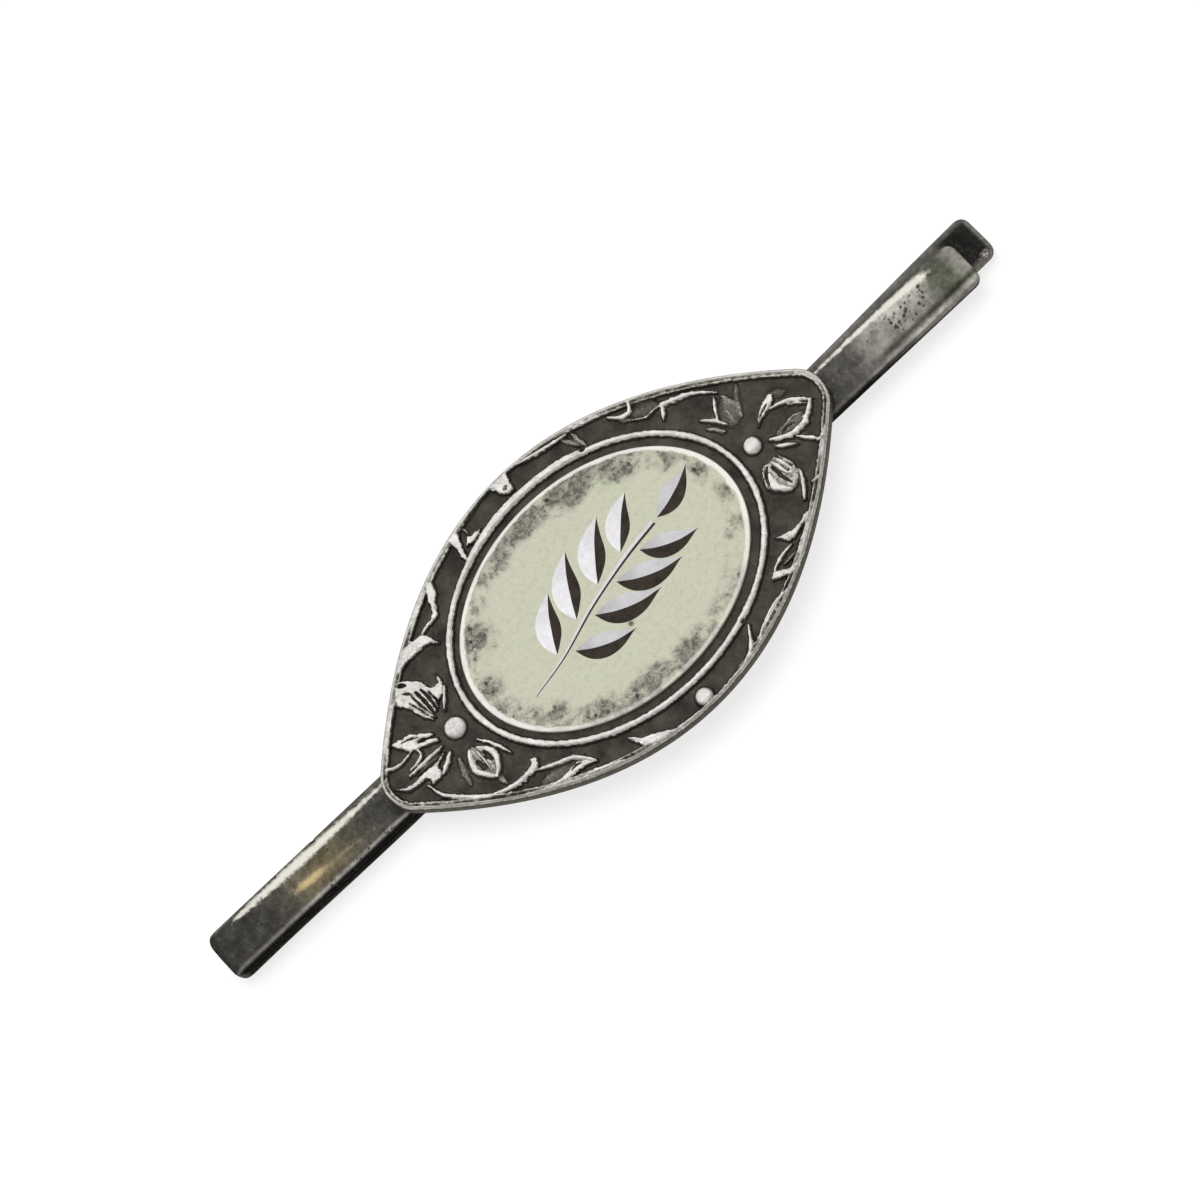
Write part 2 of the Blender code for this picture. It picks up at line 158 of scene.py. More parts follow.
# %% [markdown]
# ## The relief as a field of heights
#
# A plate like this is struck: a steel die presses the pattern into sheet silver in one blow. So
# nothing overhangs, and the whole face is one height over each point. Sculpting it by hand would give
# no numbers to check, and a picture of heights would have to come from somewhere. We cut the die
# first: a fine square field of heights in millimetres, with 0 at the ground. Later the plate's own
# mesh takes its heights from this field.

# %% The die, still flat
DIE_STEP = 0.025
DIE_REACH = (15.4, 8.3)

die_columns = np.arange(-DIE_REACH[0], DIE_REACH[0], DIE_STEP)
die_rows = np.arange(-DIE_REACH[1], DIE_REACH[1], DIE_STEP)
die_x, die_y = np.meshgrid(die_columns, die_rows)
die = np.zeros(die_x.shape)
print("die:", die.shape, "points")

# %% [markdown]
# Every leaf, stem and petal is drawn through a few given points. Straight lines between them would
# show corners, and Blender's own curves would have to be turned into meshes before they could be
# measured. So a smooth curve is worked out here. It goes through all the points and is kept as closely
# spaced places, each with its share of the length, so that a stem can taper.

# %% A smooth line through points
def smooth_line(points, step=0.03, closed=False):
    """A curve through the points, as closely spaced places and each one's share of the length."""
    points = np.array(points, float)
    if closed:
        padded = np.concatenate([points[-1:], points, points[:2]])
    else:
        padded = np.concatenate([2 * points[:1] - points[1:2], points, 2 * points[-1:] - points[-2:-1]])
    places = []
    for a, b, c, d in zip(padded, padded[1:], padded[2:], padded[3:]):
        count = max(2, int(np.linalg.norm(c - b) / step))
        t = np.linspace(0, 1, count, endpoint=False)[:, None]
        bend = a - 2.5 * b + 2 * c - d / 2
        turn = 1.5 * (b - c) + (d - a) / 2
        places.append(b + t * (c - a) / 2 + t**2 * bend + t**3 * turn)
    places = np.concatenate(places + [points[:1] if closed else points[-1:]])
    walked = np.append(0, np.cumsum(np.linalg.norm(np.diff(places, axis=0), axis=1)))
    return places, walked / walked[-1]


print("an arch through 3 points becomes", len(smooth_line([(0, 0), (1, 1), (2, 0)])[0]), "places")

# %% [markdown]
# A shape touches only a small part of the die, so we work in a window round it. Where two shapes meet,
# the higher one wins, with a small fillet, as struck metal has no sharp inner corners. A shape can also
# add to what is there, for ribs, or cut into it, for grooves. The steel was cut by hand and the silver
# is worn, so no edge is clean: a sum of a few slow waves gives a field called `ragged`, and every edge
# wanders with it.

# %% Put a shape on the die
FILLET = 0.05


def window_round(line, margin):
    """The slice of the die that holds a line and a margin."""
    low, high = line.min(axis=0) - margin, line.max(axis=0) + margin
    columns = np.clip(np.searchsorted(die_columns, (low[0], high[0])), 0, len(die_columns))
    rows = np.clip(np.searchsorted(die_rows, (low[1], high[1])), 0, len(die_rows))
    return slice(rows[0], rows[1]), slice(columns[0], columns[1])


def apply_shape(window, crest, way):
    """Raises the die to the crest with a fillet, or adds the crest to it, or cuts it away."""
    before = die[window]
    if way == "raise":
        blend = np.clip(FILLET - np.abs(before - crest), 0, None) ** 2 / (4 * FILLET)
        die[window] = np.where(crest > 0, np.maximum(before, crest) + blend, before)
    else:
        die[window] = before + crest * (1 if way == "add" else -1)


def waves(x, y, size, seed):
    """A gently uneven surface, mostly between -1 and 1, from a few waves of about one size."""
    chance = random.Random(seed)
    total = np.zeros_like(x)
    for _ in range(9):
        angle = chance.uniform(0, 2 * math.pi)
        length = size * chance.uniform(0.6, 1.7)
        phase = chance.uniform(0, 2 * math.pi)
        total += np.sin((x * math.cos(angle) + y * math.sin(angle)) * 2 * math.pi / length + phase)
    return total / 4.5


ragged = 0.6 * waves(die_x, die_y, 0.5, 31) + 0.5 * waves(die_x, die_y, 0.24, 32)
print("edges wander with a field between", ragged.min().round(2), "and", ragged.max().round(2))

# %% [markdown]
# Three tools cut the die. A stroke follows a smooth line with a width and a height: for every place
# near the line we find its nearest point, measured in half widths, and lift the place by a rounded
# crest. A patch fills a smooth closed outline, and rises from its edge like a pillow. A bead is a dome
# in a shallow hollow, as the round punch that made it pushed the metal beside it down. `TAPERS` holds
# the ways in which a stroke's width may change from its start to its end.

# %% Strokes, patches and beads
FAR_AWAY = 9.0
TAPERS = {
    "both": lambda t: np.sin(np.pi * (0.1 + 0.8 * t)) ** 0.6,
    "end": lambda t: 1 - 0.7 * t**1.8,
    "start": lambda t: 1 - 0.7 * (1 - t) ** 1.8,
    "leaf": lambda t: np.sin(np.pi * t**0.8) ** 1.15,
}


def stroke(points, width, lift, taper="both", way="raise"):
    """Raises, adds or cuts a rounded ridge of that width and height along a line."""
    line, share = smooth_line(points)
    half = width / 2 * TAPERS[taper](share)
    window = window_round(line, width / 2)
    x, y = die_x[window], die_y[window]
    closest = np.full(x.shape, FAR_AWAY)
    fullness = np.zeros(x.shape)
    for (px, py), reach in zip(line, half):
        distance = np.hypot(x - px, y - py) / reach
        fullness = np.where(distance < closest, reach / half.max(), fullness)
        closest = np.minimum(closest, distance)
    closest = np.clip(closest * (1 + 0.3 * ragged[window]), 0, FAR_AWAY)
    crest = np.clip(1 - closest**2.4, 0, 1) ** 0.8 * lift * (0.8 + 0.2 * fullness)
    apply_shape(window, crest, way)


def patch(points, edge, lift, way="raise"):
    """A pillow with that smooth outline, at its full height from the edge's width inwards."""
    line, _ = smooth_line(points, step=0.05, closed=True)
    window = window_round(line, 0.1)
    x, y = die_x[window], die_y[window]
    distance = np.full(x.shape, FAR_AWAY)
    crossings = np.zeros(x.shape, int)
    for (ax, ay), (bx, by) in zip(line, line[1:]):
        span = max((bx - ax) ** 2 + (by - ay) ** 2, 1e-12)
        share = np.clip(((x - ax) * (bx - ax) + (y - ay) * (by - ay)) / span, 0, 1)
        off_x, off_y = x - ax - share * (bx - ax), y - ay - share * (by - ay)
        distance = np.minimum(distance, np.hypot(off_x, off_y))
        if ay != by:
            crossings += ((ay > y) != (by > y)) & (x < ax + (y - ay) * (bx - ax) / (by - ay))
    distance = np.where(crossings % 2 == 1, distance, -distance) + 0.045 * ragged[window]
    inside = np.clip(distance / edge, 0, 1)
    height = lift * (1 + 0.12 * ragged[window])
    apply_shape(window, height * np.sqrt(1 - (1 - inside) ** 2), way)


def bead(x, y, radius, lift, pit):
    """A domed bead in a shallow round hollow."""
    reach = np.hypot(die_x - x, die_y - y)
    hollow = np.clip(1 - (reach / pit) ** 2, 0, 1) ** 2
    dome = np.sqrt(np.clip(1 - (reach / radius) ** 2, 0, 1)) * lift
    die[:] = np.maximum(die - 0.07 * hollow, dome)


print("tapers for strokes:", ", ".join(TAPERS))

# %% [markdown]
# The ornament is the plate's whole charm: a blossom in each tip, and leaves and vines along the border.
# The motifs are drawn from the photograph, in millimetres from the plate's middle, with X along
# the clip. The blossoms come first. Each has a bead for its heart, an upper petal, a lower
# petal and a lobed leaf that points to the plate's tip, and no two are alike. Then come the leaves of
# the border, which hang from the rim above and lie on vines below.

# %% Left blossom
# heights of what is raised, in millimetres
LEAF, VINE, FAINT, BODY = 0.36, 0.32, 0.17, 0.18

# a patch has the width of its edge, its height and its outline, and a stroke has its taper, its width,
# its height and its line
motifs = {
    "left blossom, upper petal": [
        ("patch", 0.2, 0.34, [(-10.55, 1.7), (-10.95, 2.2), (-11.2, 2.8), (-11.5, 3.15), (-11.35, 3.5),
            (-11.05, 3.9), (-10.75, 4.15), (-10.35, 4.0), (-10.05, 3.75), (-9.75, 3.4), (-9.6, 2.9),
            (-9.62, 2.3), (-9.8, 1.8), (-10.2, 1.6)]),
        ("cut", "both", 0.22, 0.28, [(-10.8, 3.98), (-10.6, 3.82), (-10.42, 3.66)]),
        ("cut", "both", 0.12, 0.16, [(-10.8, 3.42), (-10.58, 3.22), (-10.5, 3.05)]),
        ("cut", "both", 0.17, 0.28, [(-10.28, 3.05), (-10.25, 2.4), (-10.3, 1.6)]),
        ("cut", "both", 0.17, 0.28, [(-10.0, 2.95), (-9.97, 2.4), (-10.05, 1.6)]),
        ("cut", "both", 0.12, 0.2, [(-10.56, 3.0), (-10.52, 2.4), (-10.42, 1.6)]),
        ("cut", "both", 0.11, 0.18, [(-10.88, 2.85), (-10.72, 2.3), (-10.52, 1.6)]),
        ("cut", "both", 0.11, 0.2, [(-9.8, 2.6), (-9.76, 2.1), (-9.9, 1.7)]),
        ("raise", "both", 0.14, LEAF, [(-11.0, 2.4), (-10.78, 1.9), (-10.55, 1.42)]),
        ("raise", "both", 0.1, VINE, [(-10.6, 2.0), (-10.45, 1.6), (-10.38, 1.4)]),
        ("patch", 0.14, LEAF, [(-9.75, 3.0), (-9.5, 2.68), (-9.2, 2.66), (-9.05, 2.85), (-8.95, 3.2),
            (-8.9, 2.65), (-9.05, 2.3), (-9.35, 2.05), (-9.75, 2.0)]),
        ("raise", "both", 0.15, LEAF, [(-9.85, 1.35), (-9.45, 1.8), (-9.0, 2.3)]),
    ],
    "left blossom, leaf at the tip": [
        ("patch", 0.14, LEAF, [(-13.05, 1.95), (-12.7, 1.95), (-12.3, 1.82), (-11.9, 1.72), (-11.5, 1.4),
            (-11.02, 1.0), (-11.08, 0.8), (-11.55, 1.0), (-11.85, 1.1), (-11.65, 0.98), (-11.35, 0.84),
            (-11.0, 0.62), (-11.05, 0.36), (-11.5, 0.54), (-12.0, 0.78), (-12.45, 0.98), (-12.72, 1.3),
            (-12.88, 1.62)]),
        ("cut", "both", 0.1, 0.18, [(-12.5, 1.62), (-12.1, 1.5), (-11.7, 1.25)]),
        ("raise", "end", 0.18, VINE, [(-13.95, 1.2), (-13.5, 0.95), (-13.0, 0.92), (-12.35, 1.0)]),
        ("raise", "both", 0.15, VINE, [(-12.4, 1.1), (-12.15, 0.82), (-12.2, 0.5), (-12.6, 0.35),
            (-13.1, 0.32)]),
        ("raise", "both", 0.19, LEAF, [(-13.3, 0.12), (-12.4, 0.12), (-11.15, 0.1)]),
        ("raise", "both", 0.1, FAINT, [(-13.0, -0.1), (-12.2, -0.08), (-11.3, -0.12)]),
        ("patch", 0.13, LEAF, [(-14.3, 0.15), (-13.8, -0.1), (-13.3, -0.25), (-12.8, -0.2), (-12.4, -0.25),
            (-12.0, -0.28), (-11.5, -0.18), (-11.2, -0.2), (-11.5, -0.38), (-11.9, -0.5), (-11.95, -0.66),
            (-12.1, -1.05), (-12.75, -1.02), (-12.72, -0.7), (-12.98, -0.58), (-13.5, -0.55),
            (-13.95, -0.35)]),
        ("raise", "both", 0.22, LEAF, [(-11.05, -0.42), (-11.5, -0.7), (-12.0, -0.98)]),
    ],
    "left blossom, lower petal": [
        ("patch", 0.3, BODY + 0.07, [(-10.3, -0.9), (-10.85, -1.5), (-10.95, -2.2), (-10.2, -3.15),
            (-9.45, -2.5), (-9.3, -1.8), (-9.8, -1.1)]),
        ("add", "both", 0.48, 0.2, [(-10.35, -0.98), (-10.62, -1.5), (-10.78, -2.05), (-10.5, -2.6),
            (-10.15, -3.05)]),
        ("add", "both", 0.46, 0.2, [(-9.9, -1.2), (-9.5, -1.75), (-9.5, -2.3), (-9.8, -2.75),
            (-10.15, -3.0)]),
        ("add", "both", 0.18, 0.18, [(-10.1, -1.05), (-10.08, -1.8), (-10.15, -2.6)]),
        ("cut", "both", 0.26, 0.2, [(-10.38, -1.75), (-10.34, -2.3)]),
        ("cut", "both", 0.22, 0.2, [(-9.82, -1.6), (-9.8, -2.2)]),
        ("raise", "both", 0.26, 0.16, [(-10.95, -0.95), (-11.2, -1.6), (-11.4, -2.3)]),
        ("raise", "both", 0.17, VINE, [(-9.65, -0.9), (-9.3, -1.45), (-9.05, -2.0), (-8.88, -2.6)]),
        ("raise", "end", 0.3, 0.17, [(-10.15, -2.9), (-10.05, -3.6)]),
    ],
}
print("left blossom:", sum(map(len, motifs.values())), "shapes")

# %% [markdown]
# The right blossom is drawn by the same rules, but its petals are other ones: an open upper petal with
# two ribs, a leaf at the tip that forks, and a lower petal like a shell with five ribs.

# %% Right blossom
motifs |= {
    "right blossom, upper petal": [
        ("patch", 0.6, 0.16, [(9.9, 1.7), (9.95, 2.5), (10.4, 3.1), (10.8, 3.2), (11.1, 2.5), (11.0, 1.9),
            (10.5, 1.6)]),
        ("raise", "both", 0.18, LEAF, [(9.12, 3.02), (9.5, 2.65), (9.75, 2.3), (9.98, 1.85)]),
        ("raise", "both", 0.17, LEAF, [(10.42, 3.42), (10.05, 2.9), (9.78, 2.4)]),
        ("raise", "both", 0.2, FAINT, [(9.1, 2.5), (9.4, 2.15), (9.65, 1.75)]),
        ("raise", "both", 0.26, FAINT, [(10.75, 3.2), (10.85, 2.7), (10.97, 2.3), (10.75, 1.75)]),
        ("raise", "both", 0.2, 0.13, [(11.65, 3.15), (11.25, 2.65), (11.0, 2.3)]),
        ("add", "both", 0.12, 0.1, [(10.38, 1.8), (10.42, 2.6)]),
    ],
    "right blossom, leaf at the tip": [
        ("patch", 0.5, 0.13, [(12.2, 1.75), (12.9, 1.6), (13.3, 1.1), (12.9, 1.0), (12.5, 1.2)]),
        ("patch", 0.14, LEAF, [(10.95, 0.72), (11.25, 1.1), (11.6, 1.35), (12.0, 1.52), (12.45, 1.58),
            (12.65, 1.4), (12.4, 1.12), (12.05, 0.98), (11.6, 0.85), (11.25, 0.78)]),
        ("cut", "both", 0.1, 0.2, [(11.2, 0.9), (11.6, 1.08), (12.0, 1.22)]),
        ("raise", "both", 0.2, LEAF, [(12.0, 0.95), (12.5, 0.82), (13.0, 0.58), (13.5, 0.18),
            (13.8, -0.15)]),
        ("raise", "both", 0.12, VINE, [(12.75, 0.5), (13.15, 0.22), (13.5, -0.12)]),
        ("patch", 0.35, BODY, [(11.1, -0.15), (11.8, -0.1), (12.6, 0.0), (13.1, -0.25), (12.9, -0.6),
            (12.2, -0.75), (11.6, -0.6)]),
        ("add", "both", 0.16, 0.1, [(11.4, -0.2), (12.0, -0.12), (12.6, -0.08), (13.1, -0.3)]),
        ("cut", "both", 0.11, 0.14, [(11.6, -0.38), (12.0, -0.3), (12.4, -0.42)]),
        ("raise", "both", 0.27, LEAF, [(10.95, -0.2), (11.5, -0.55), (12.1, -0.78), (12.8, -0.72),
            (13.35, -0.42), (13.75, -0.1)]),
        ("raise", "both", 0.18, LEAF, [(10.9, -0.62), (11.3, -0.95), (11.75, -1.3)]),
        ("raise", "both", 0.18, VINE, [(12.0, -1.0), (12.4, -1.5), (12.72, -1.92)]),
        ("raise", "both", 0.18, VINE, [(12.6, -1.9), (13.0, -1.88), (13.4, -1.6)]),
    ],
    "right blossom, lower petal": [
        ("patch", 0.3, BODY + 0.08, [(9.75, -0.95), (9.3, -1.5), (9.1, -2.0), (9.4, -2.55), (9.9, -2.9),
            (10.5, -2.85), (10.95, -2.4), (10.98, -1.8), (10.65, -1.05), (10.2, -0.9)]),
        ("add", "both", 0.55, 0.2, [(9.68, -1.5), (9.5, -2.1), (9.7, -2.5), (9.98, -2.85)]),
        ("add", "both", 0.24, 0.22, [(9.78, -0.95), (9.38, -1.4), (9.15, -2.0)]),
        ("add", "both", 0.25, 0.22, [(10.18, -1.0), (10.3, -1.5), (10.42, -2.1)]),
        ("add", "both", 0.25, 0.22, [(10.42, -0.9), (10.6, -1.5), (10.7, -2.1)]),
        ("add", "both", 0.22, 0.22, [(10.66, -0.96), (10.87, -1.5), (10.93, -2.0)]),
        ("add", "both", 0.24, 0.12, [(10.35, -2.05), (10.65, -2.15), (10.95, -2.0)]),
        ("cut", "both", 0.13, 0.16, [(9.9, -1.1), (9.55, -1.5), (9.3, -2.0)]),
        ("cut", "both", 0.18, 0.16, [(10.05, -1.3), (10.12, -2.0), (10.25, -2.55)]),
        ("raise", "both", 0.2, LEAF, [(10.98, -2.35), (10.65, -2.95), (10.12, -3.62)]),
        ("raise", "both", 0.18, VINE, [(10.95, -3.22), (11.5, -3.28), (12.1, -3.05)]),
    ],
}
print("with the right blossom:", sum(map(len, motifs.values())), "shapes")

# %% [markdown]
# Along the upper side the leaves hang from the rim, and the vines that carry them run close under it.
# The left half is bold, and the right half is worn nearly flat, so its shapes are only outlines.

# %% Upper border
motifs |= {
    "border, upper left": [
        ("patch", 0.16, LEAF, [(-10.3, 4.3), (-9.9, 4.36), (-9.5, 4.42), (-8.7, 4.42), (-8.2, 4.35),
            (-7.7, 4.02), (-7.82, 4.6), (-8.05, 5.0), (-8.6, 5.15), (-9.1, 5.2), (-9.7, 5.1),
            (-10.3, 4.75)]),
        ("raise", "both", 0.16, VINE, [(-8.1, 5.02), (-7.5, 5.16), (-7.0, 5.15)]),
        ("patch", 0.16, LEAF, [(-7.35, 5.15), (-6.95, 5.08), (-6.6, 5.4), (-6.35, 5.8), (-6.05, 6.15),
            (-5.92, 6.6), (-6.15, 6.85), (-6.5, 6.5), (-6.78, 6.05), (-6.92, 5.65)]),
        ("patch", 0.12, VINE, [(-8.5, 5.75), (-8.2, 5.62), (-7.6, 5.9), (-7.1, 6.2), (-6.6, 6.55),
            (-6.9, 6.7), (-7.6, 6.35), (-8.2, 6.0)]),
        ("patch", 0.14, LEAF, [(-4.05, 7.75), (-4.0, 7.1), (-4.08, 6.5), (-3.98, 6.1), (-3.7, 6.5),
            (-3.58, 6.95), (-3.35, 7.4), (-3.25, 7.75)]),
        ("patch", 0.12, LEAF, [(-3.55, 6.72), (-3.3, 6.95), (-3.15, 7.12), (-2.9, 7.0), (-2.4, 6.92),
            (-2.6, 6.7), (-3.1, 6.6)]),
        ("raise", "both", 0.12, FAINT, [(-3.1, 7.65), (-3.0, 7.4), (-3.05, 7.1)]),
        ("patch", 0.2, LEAF, [(-0.72, 8.2), (-0.6, 7.65), (-0.35, 7.25), (0.0, 7.12), (0.28, 7.3),
            (0.38, 8.2)]),
        ("cut", "both", 0.2, 0.12, [(-0.2, 7.5), (-0.1, 7.5), (0.0, 7.55)]),
    ],
    "border, upper right": [
        ("raise", "both", 0.17, LEAF, [(1.1, 8.0), (2.1, 7.74), (3.1, 7.5), (3.9, 7.35)]),
        ("raise", "both", 0.2, FAINT, [(3.5, 7.35), (3.75, 7.0), (4.0, 6.5)]),
        ("raise", "both", 0.2, FAINT, [(4.12, 7.25), (4.15, 6.7), (4.25, 6.2)]),
        ("raise", "both", 0.22, LEAF, [(5.95, 6.48), (6.35, 6.08), (6.75, 5.9), (7.05, 6.03),
            (7.25, 6.45)]),
        ("raise", "end", 0.22, FAINT, [(6.35, 5.95), (6.6, 5.7), (6.85, 5.5)]),
        ("raise", "both", 0.5, 0.13, [(7.1, 5.65), (7.6, 5.6), (8.1, 5.3)]),
        ("raise", "both", 0.1, VINE, [(6.75, 5.5), (7.3, 5.12), (7.8, 5.1), (8.3, 5.05)]),
        ("raise", "both", 0.2, VINE, [(8.42, 5.02), (8.15, 4.75), (7.9, 4.4)]),
        ("raise", "end", 0.24, VINE, [(8.3, 5.02), (9.0, 4.76), (9.65, 4.44), (10.15, 4.05),
            (10.7, 3.5)]),
    ],
}
print("with the upper border:", sum(map(len, motifs.values())), "shapes")

# %% [markdown]
# Along the lower side long leaves lie on vines that run with the rim, and the vines curl round the
# blossoms at both ends.

# %% Lower border
motifs |= {
    "border, lower left": [
        ("raise", "both", 0.2, LEAF, [(-12.95, -0.9), (-12.8, -1.6), (-12.3, -2.3), (-11.6, -3.0),
            (-10.95, -3.5)]),
        ("raise", "start", 0.27, LEAF, [(-11.2, -3.38), (-10.3, -3.8), (-9.4, -4.0), (-8.65, -3.95)]),
        ("patch", 0.12, LEAF, [(-9.1, -3.9), (-8.7, -3.78), (-8.4, -3.48), (-8.1, -3.75), (-8.35, -4.1),
            (-8.8, -4.22)]),
        ("raise", "both", 0.2, LEAF, [(-11.2, -3.95), (-10.4, -4.4), (-9.7, -4.75), (-9.2, -5.0)]),
        ("patch", 0.3, 0.17, [(-9.0, -4.9), (-8.2, -4.6), (-7.2, -5.0), (-6.6, -5.3), (-6.15, -5.9),
            (-7.0, -5.7), (-8.2, -5.5)]),
        ("raise", "both", 0.22, LEAF, [(-8.5, -4.2), (-7.7, -4.6), (-6.9, -4.95), (-6.45, -5.4),
            (-6.1, -5.9)]),
        ("patch", 0.13, LEAF, [(-9.2, -4.9), (-8.6, -5.18), (-8.0, -5.3), (-7.3, -5.28), (-6.8, -5.26),
            (-6.5, -5.45), (-6.15, -5.95), (-6.9, -5.78), (-7.6, -5.72), (-8.3, -5.56), (-8.8, -5.35)]),
        ("cut", "both", 0.12, 0.2, [(-7.3, -5.44), (-7.0, -5.42), (-6.75, -5.5)]),
        ("raise", "both", 0.18, LEAF, [(-7.4, -6.05), (-6.4, -6.3), (-5.3, -6.85), (-4.3, -7.35)]),
        ("patch", 0.13, LEAF, [(-4.3, -6.1), (-3.9, -6.45), (-3.5, -6.75), (-3.1, -6.95), (-2.6, -7.25),
            (-2.0, -7.62), (-1.3, -7.95), (-0.9, -8.1), (-1.7, -8.15), (-2.6, -7.95), (-3.4, -7.5),
            (-3.85, -7.15), (-4.15, -6.7)]),
    ],
    "border, lower right": [
        ("raise", "both", 0.2, VINE, [(0.3, -7.95), (0.9, -7.98), (1.6, -7.95)]),
        ("raise", "start", 0.3, LEAF, [(3.85, -6.3), (3.4, -6.95), (3.0, -7.35), (2.3, -7.7),
            (1.5, -7.95)]),
        ("raise", "both", 0.16, LEAF, [(3.5, -7.5), (4.1, -7.0), (4.9, -6.65), (5.6, -6.42),
            (6.75, -6.35)]),
        ("patch", 0.13, LEAF, [(6.2, -5.5), (6.45, -5.22), (6.75, -5.28), (7.0, -5.5), (7.4, -5.66),
            (7.9, -5.58), (8.6, -5.42), (9.3, -5.2), (8.7, -5.62), (8.0, -5.88), (7.5, -6.1), (7.0, -5.95),
            (6.5, -5.7)]),
        ("raise", "both", 0.16, VINE, [(6.5, -5.3), (6.9, -5.08), (7.4, -4.92), (8.1, -4.85)]),
        ("raise", "both", 0.14, FAINT, [(7.2, -5.3), (7.9, -5.25), (8.6, -5.25)]),
        ("patch", 0.15, LEAF, [(7.7, -4.0), (8.1, -4.12), (8.6, -4.28), (9.1, -4.3), (9.7, -4.1),
            (10.05, -4.35), (9.5, -4.5), (9.0, -4.6), (8.5, -4.75), (8.1, -4.65), (7.9, -4.35)]),
    ],
}
print("with the lower border:", sum(map(len, motifs.values())), "shapes")

# %% [markdown]
# The tables are only numbers so far. Now each shape is put on the die in its turn. The camera leans, so
# relief shows a little too high in the photograph, and one shift takes that out again. Raised lines are
# drawn at the width of their bright crest, and `WORN_WIDER` turns that into the width at their foot.
# The beads come last, so that no leaf runs over them: one in the heart of each blossom, and one on the
# lower side.

# %% Press the motifs into the die
SEEN_TOO_HIGH = 0.15
WORN_WIDER = 1.85
# along and across, radius, height, and radius of the hollow round it
BEADS = ((-10.05, 0.2, 0.64, 0.46, 1.1), (10.12, 0.08, 0.54, 0.46, 1.0), (-0.13, -7.52, 0.54, 0.44, 0.66))

for shapes in motifs.values():
    for way, *numbers, points in shapes:
        spots = [(x, y - SEEN_TOO_HIGH) for x, y in points]
        if way == "patch":
            patch(spots, *numbers)
        else:
            taper, width, lift = numbers
            stroke(spots, width * (WORN_WIDER if way == "raise" else 1), lift, taper, way)
for numbers in BEADS:
    bead(*numbers)
print(len(motifs), "motifs and", len(BEADS), "beads, highest", round(float(die.max()), 2), "mm")

# %% [markdown]
# A raised ring frames the tablet, and a raised rim keeps the plate's edge from bending. Both run all
# the way round, so they come from a distance and not from strokes: how far a point lies from the ring's
# oval, and how far it lies inside the plate's outline. The ring is broader where it passes the middle of
# the upper side. The rim is narrow at the middle of both sides and grows towards the tips, where a thin
# groove along its crown still shows. Small uneven spots go over it all, as years in pockets and drawers
# leave nothing straight.

# %% Ring, rim and ground
RING_HALF = np.array([8.95, 6.6])
RING_LIFT, RIM_LIFT = 0.37, 0.35
RING_SHIFT = 0.08
RING_HALF_WIDTH, RING_EXTRA_ON_TOP = 0.225, 0.08
# two places where the ring is worn down, and how far the wear reaches
RING_WORN_AT = ((3.95, 6.05), (3.8, -6.15))
RING_WORN_REACH = 0.12
RIM_WIDTH_AT_MIDDLE, RIM_WIDTH_AT_TIPS = 0.26, 0.44
GROOVE_INSET = 0.26
TOP_LIMIT = plate_high[2] - GROUND_Z - 0.01


def raised_band(distance, half, lift, power=1.4):
    """A rounded band of that half width and height about distance 0. A low power makes it blunt."""
    return lift * np.clip(1 - np.abs(distance / half) ** 2, 0, 1) ** power


oval_x = die_x - RING_SHIFT
oval_reach = np.maximum(np.hypot(oval_x / RING_HALF[0], die_y / RING_HALF[1]), 1e-6)
oval_slope = np.maximum(np.hypot(oval_x / RING_HALF[0] ** 2, die_y / RING_HALF[1] ** 2), 1e-6) / oval_reach
from_ring = (oval_reach - 1) / oval_slope
inset = inset_of(die_x, die_y)

on_top = np.clip(1 - (die_x / 4.2) ** 4, 0, 1) * (die_y > 0)
ring_half = RING_HALF_WIDTH + RING_EXTRA_ON_TOP * on_top
ring_half += 0.02 * waves(die_x, die_y, 2.5, 3) + 0.03 * ragged
ring_height = raised_band(from_ring + 0.03 - 0.07 * on_top, ring_half, RING_LIFT, 0.55)
for worn_x, worn_y in RING_WORN_AT:
    apart = (die_x - worn_x) ** 2 + (die_y - worn_y) ** 2
    ring_height *= 1 - 0.75 * np.exp(-apart / RING_WORN_REACH**2)

to_tips = np.clip((np.abs(die_x) - 0.8) / 4, 0, 1) ** 0.7
rim_width = RIM_WIDTH_AT_MIDDLE + (RIM_WIDTH_AT_TIPS - RIM_WIDTH_AT_MIDDLE) * to_tips
rim_width += 0.05 * np.clip(-die_y / 3, 0, 1)
rim_body = RIM_LIFT * np.clip((rim_width - inset + 0.04 * ragged) / 0.14, 0, 1) ** 0.7
groove_left = 0.6 + 0.5 * waves(die_x, die_y, 5, 8) + 0.2 * ragged
rim_groove = raised_band(inset - GROOVE_INSET, 0.10, 0.2) * groove_left * to_tips
rim_height = rim_body - np.clip(rim_groove, 0, None)

die = np.maximum.reduce([die, ring_height, rim_height])
die += 0.012 * waves(die_x, die_y, 0.45, 21) + 0.010 * waves(die_x, die_y, 1.6, 5)
die = np.minimum(die, TOP_LIMIT)
print("ring, rim and ground: lowest", round(float(die.min()), 3), "highest", round(float(die.max()), 3))

# %% [markdown]
# Fingers and cloth rub what stands out, and dirt stays in what lies low. Blender has a Pointiness value
# for that, but it follows single edges of the mesh. So two more fields are measured on the die. `proud`
# tells how far a place stands out: its height less the mean height around it, over two reaches. `near`
# tells how much relief is close by, because the polishing cloth also thins the black beside a leaf.
# Together with the height itself they drive the finish later.

# %% How proud each place stands
def blurred(field, reach):
    """The field averaged over that many steps each way, three times over."""
    width = 2 * reach + 1
    for _ in range(3):
        for _ in ("down", "across"):
            total = np.cumsum(np.pad(field, ((reach + 1, reach), (0, 0)), mode="edge"), axis=0)
            field = ((total[width:] - total[:-width]) / width).T
    return field


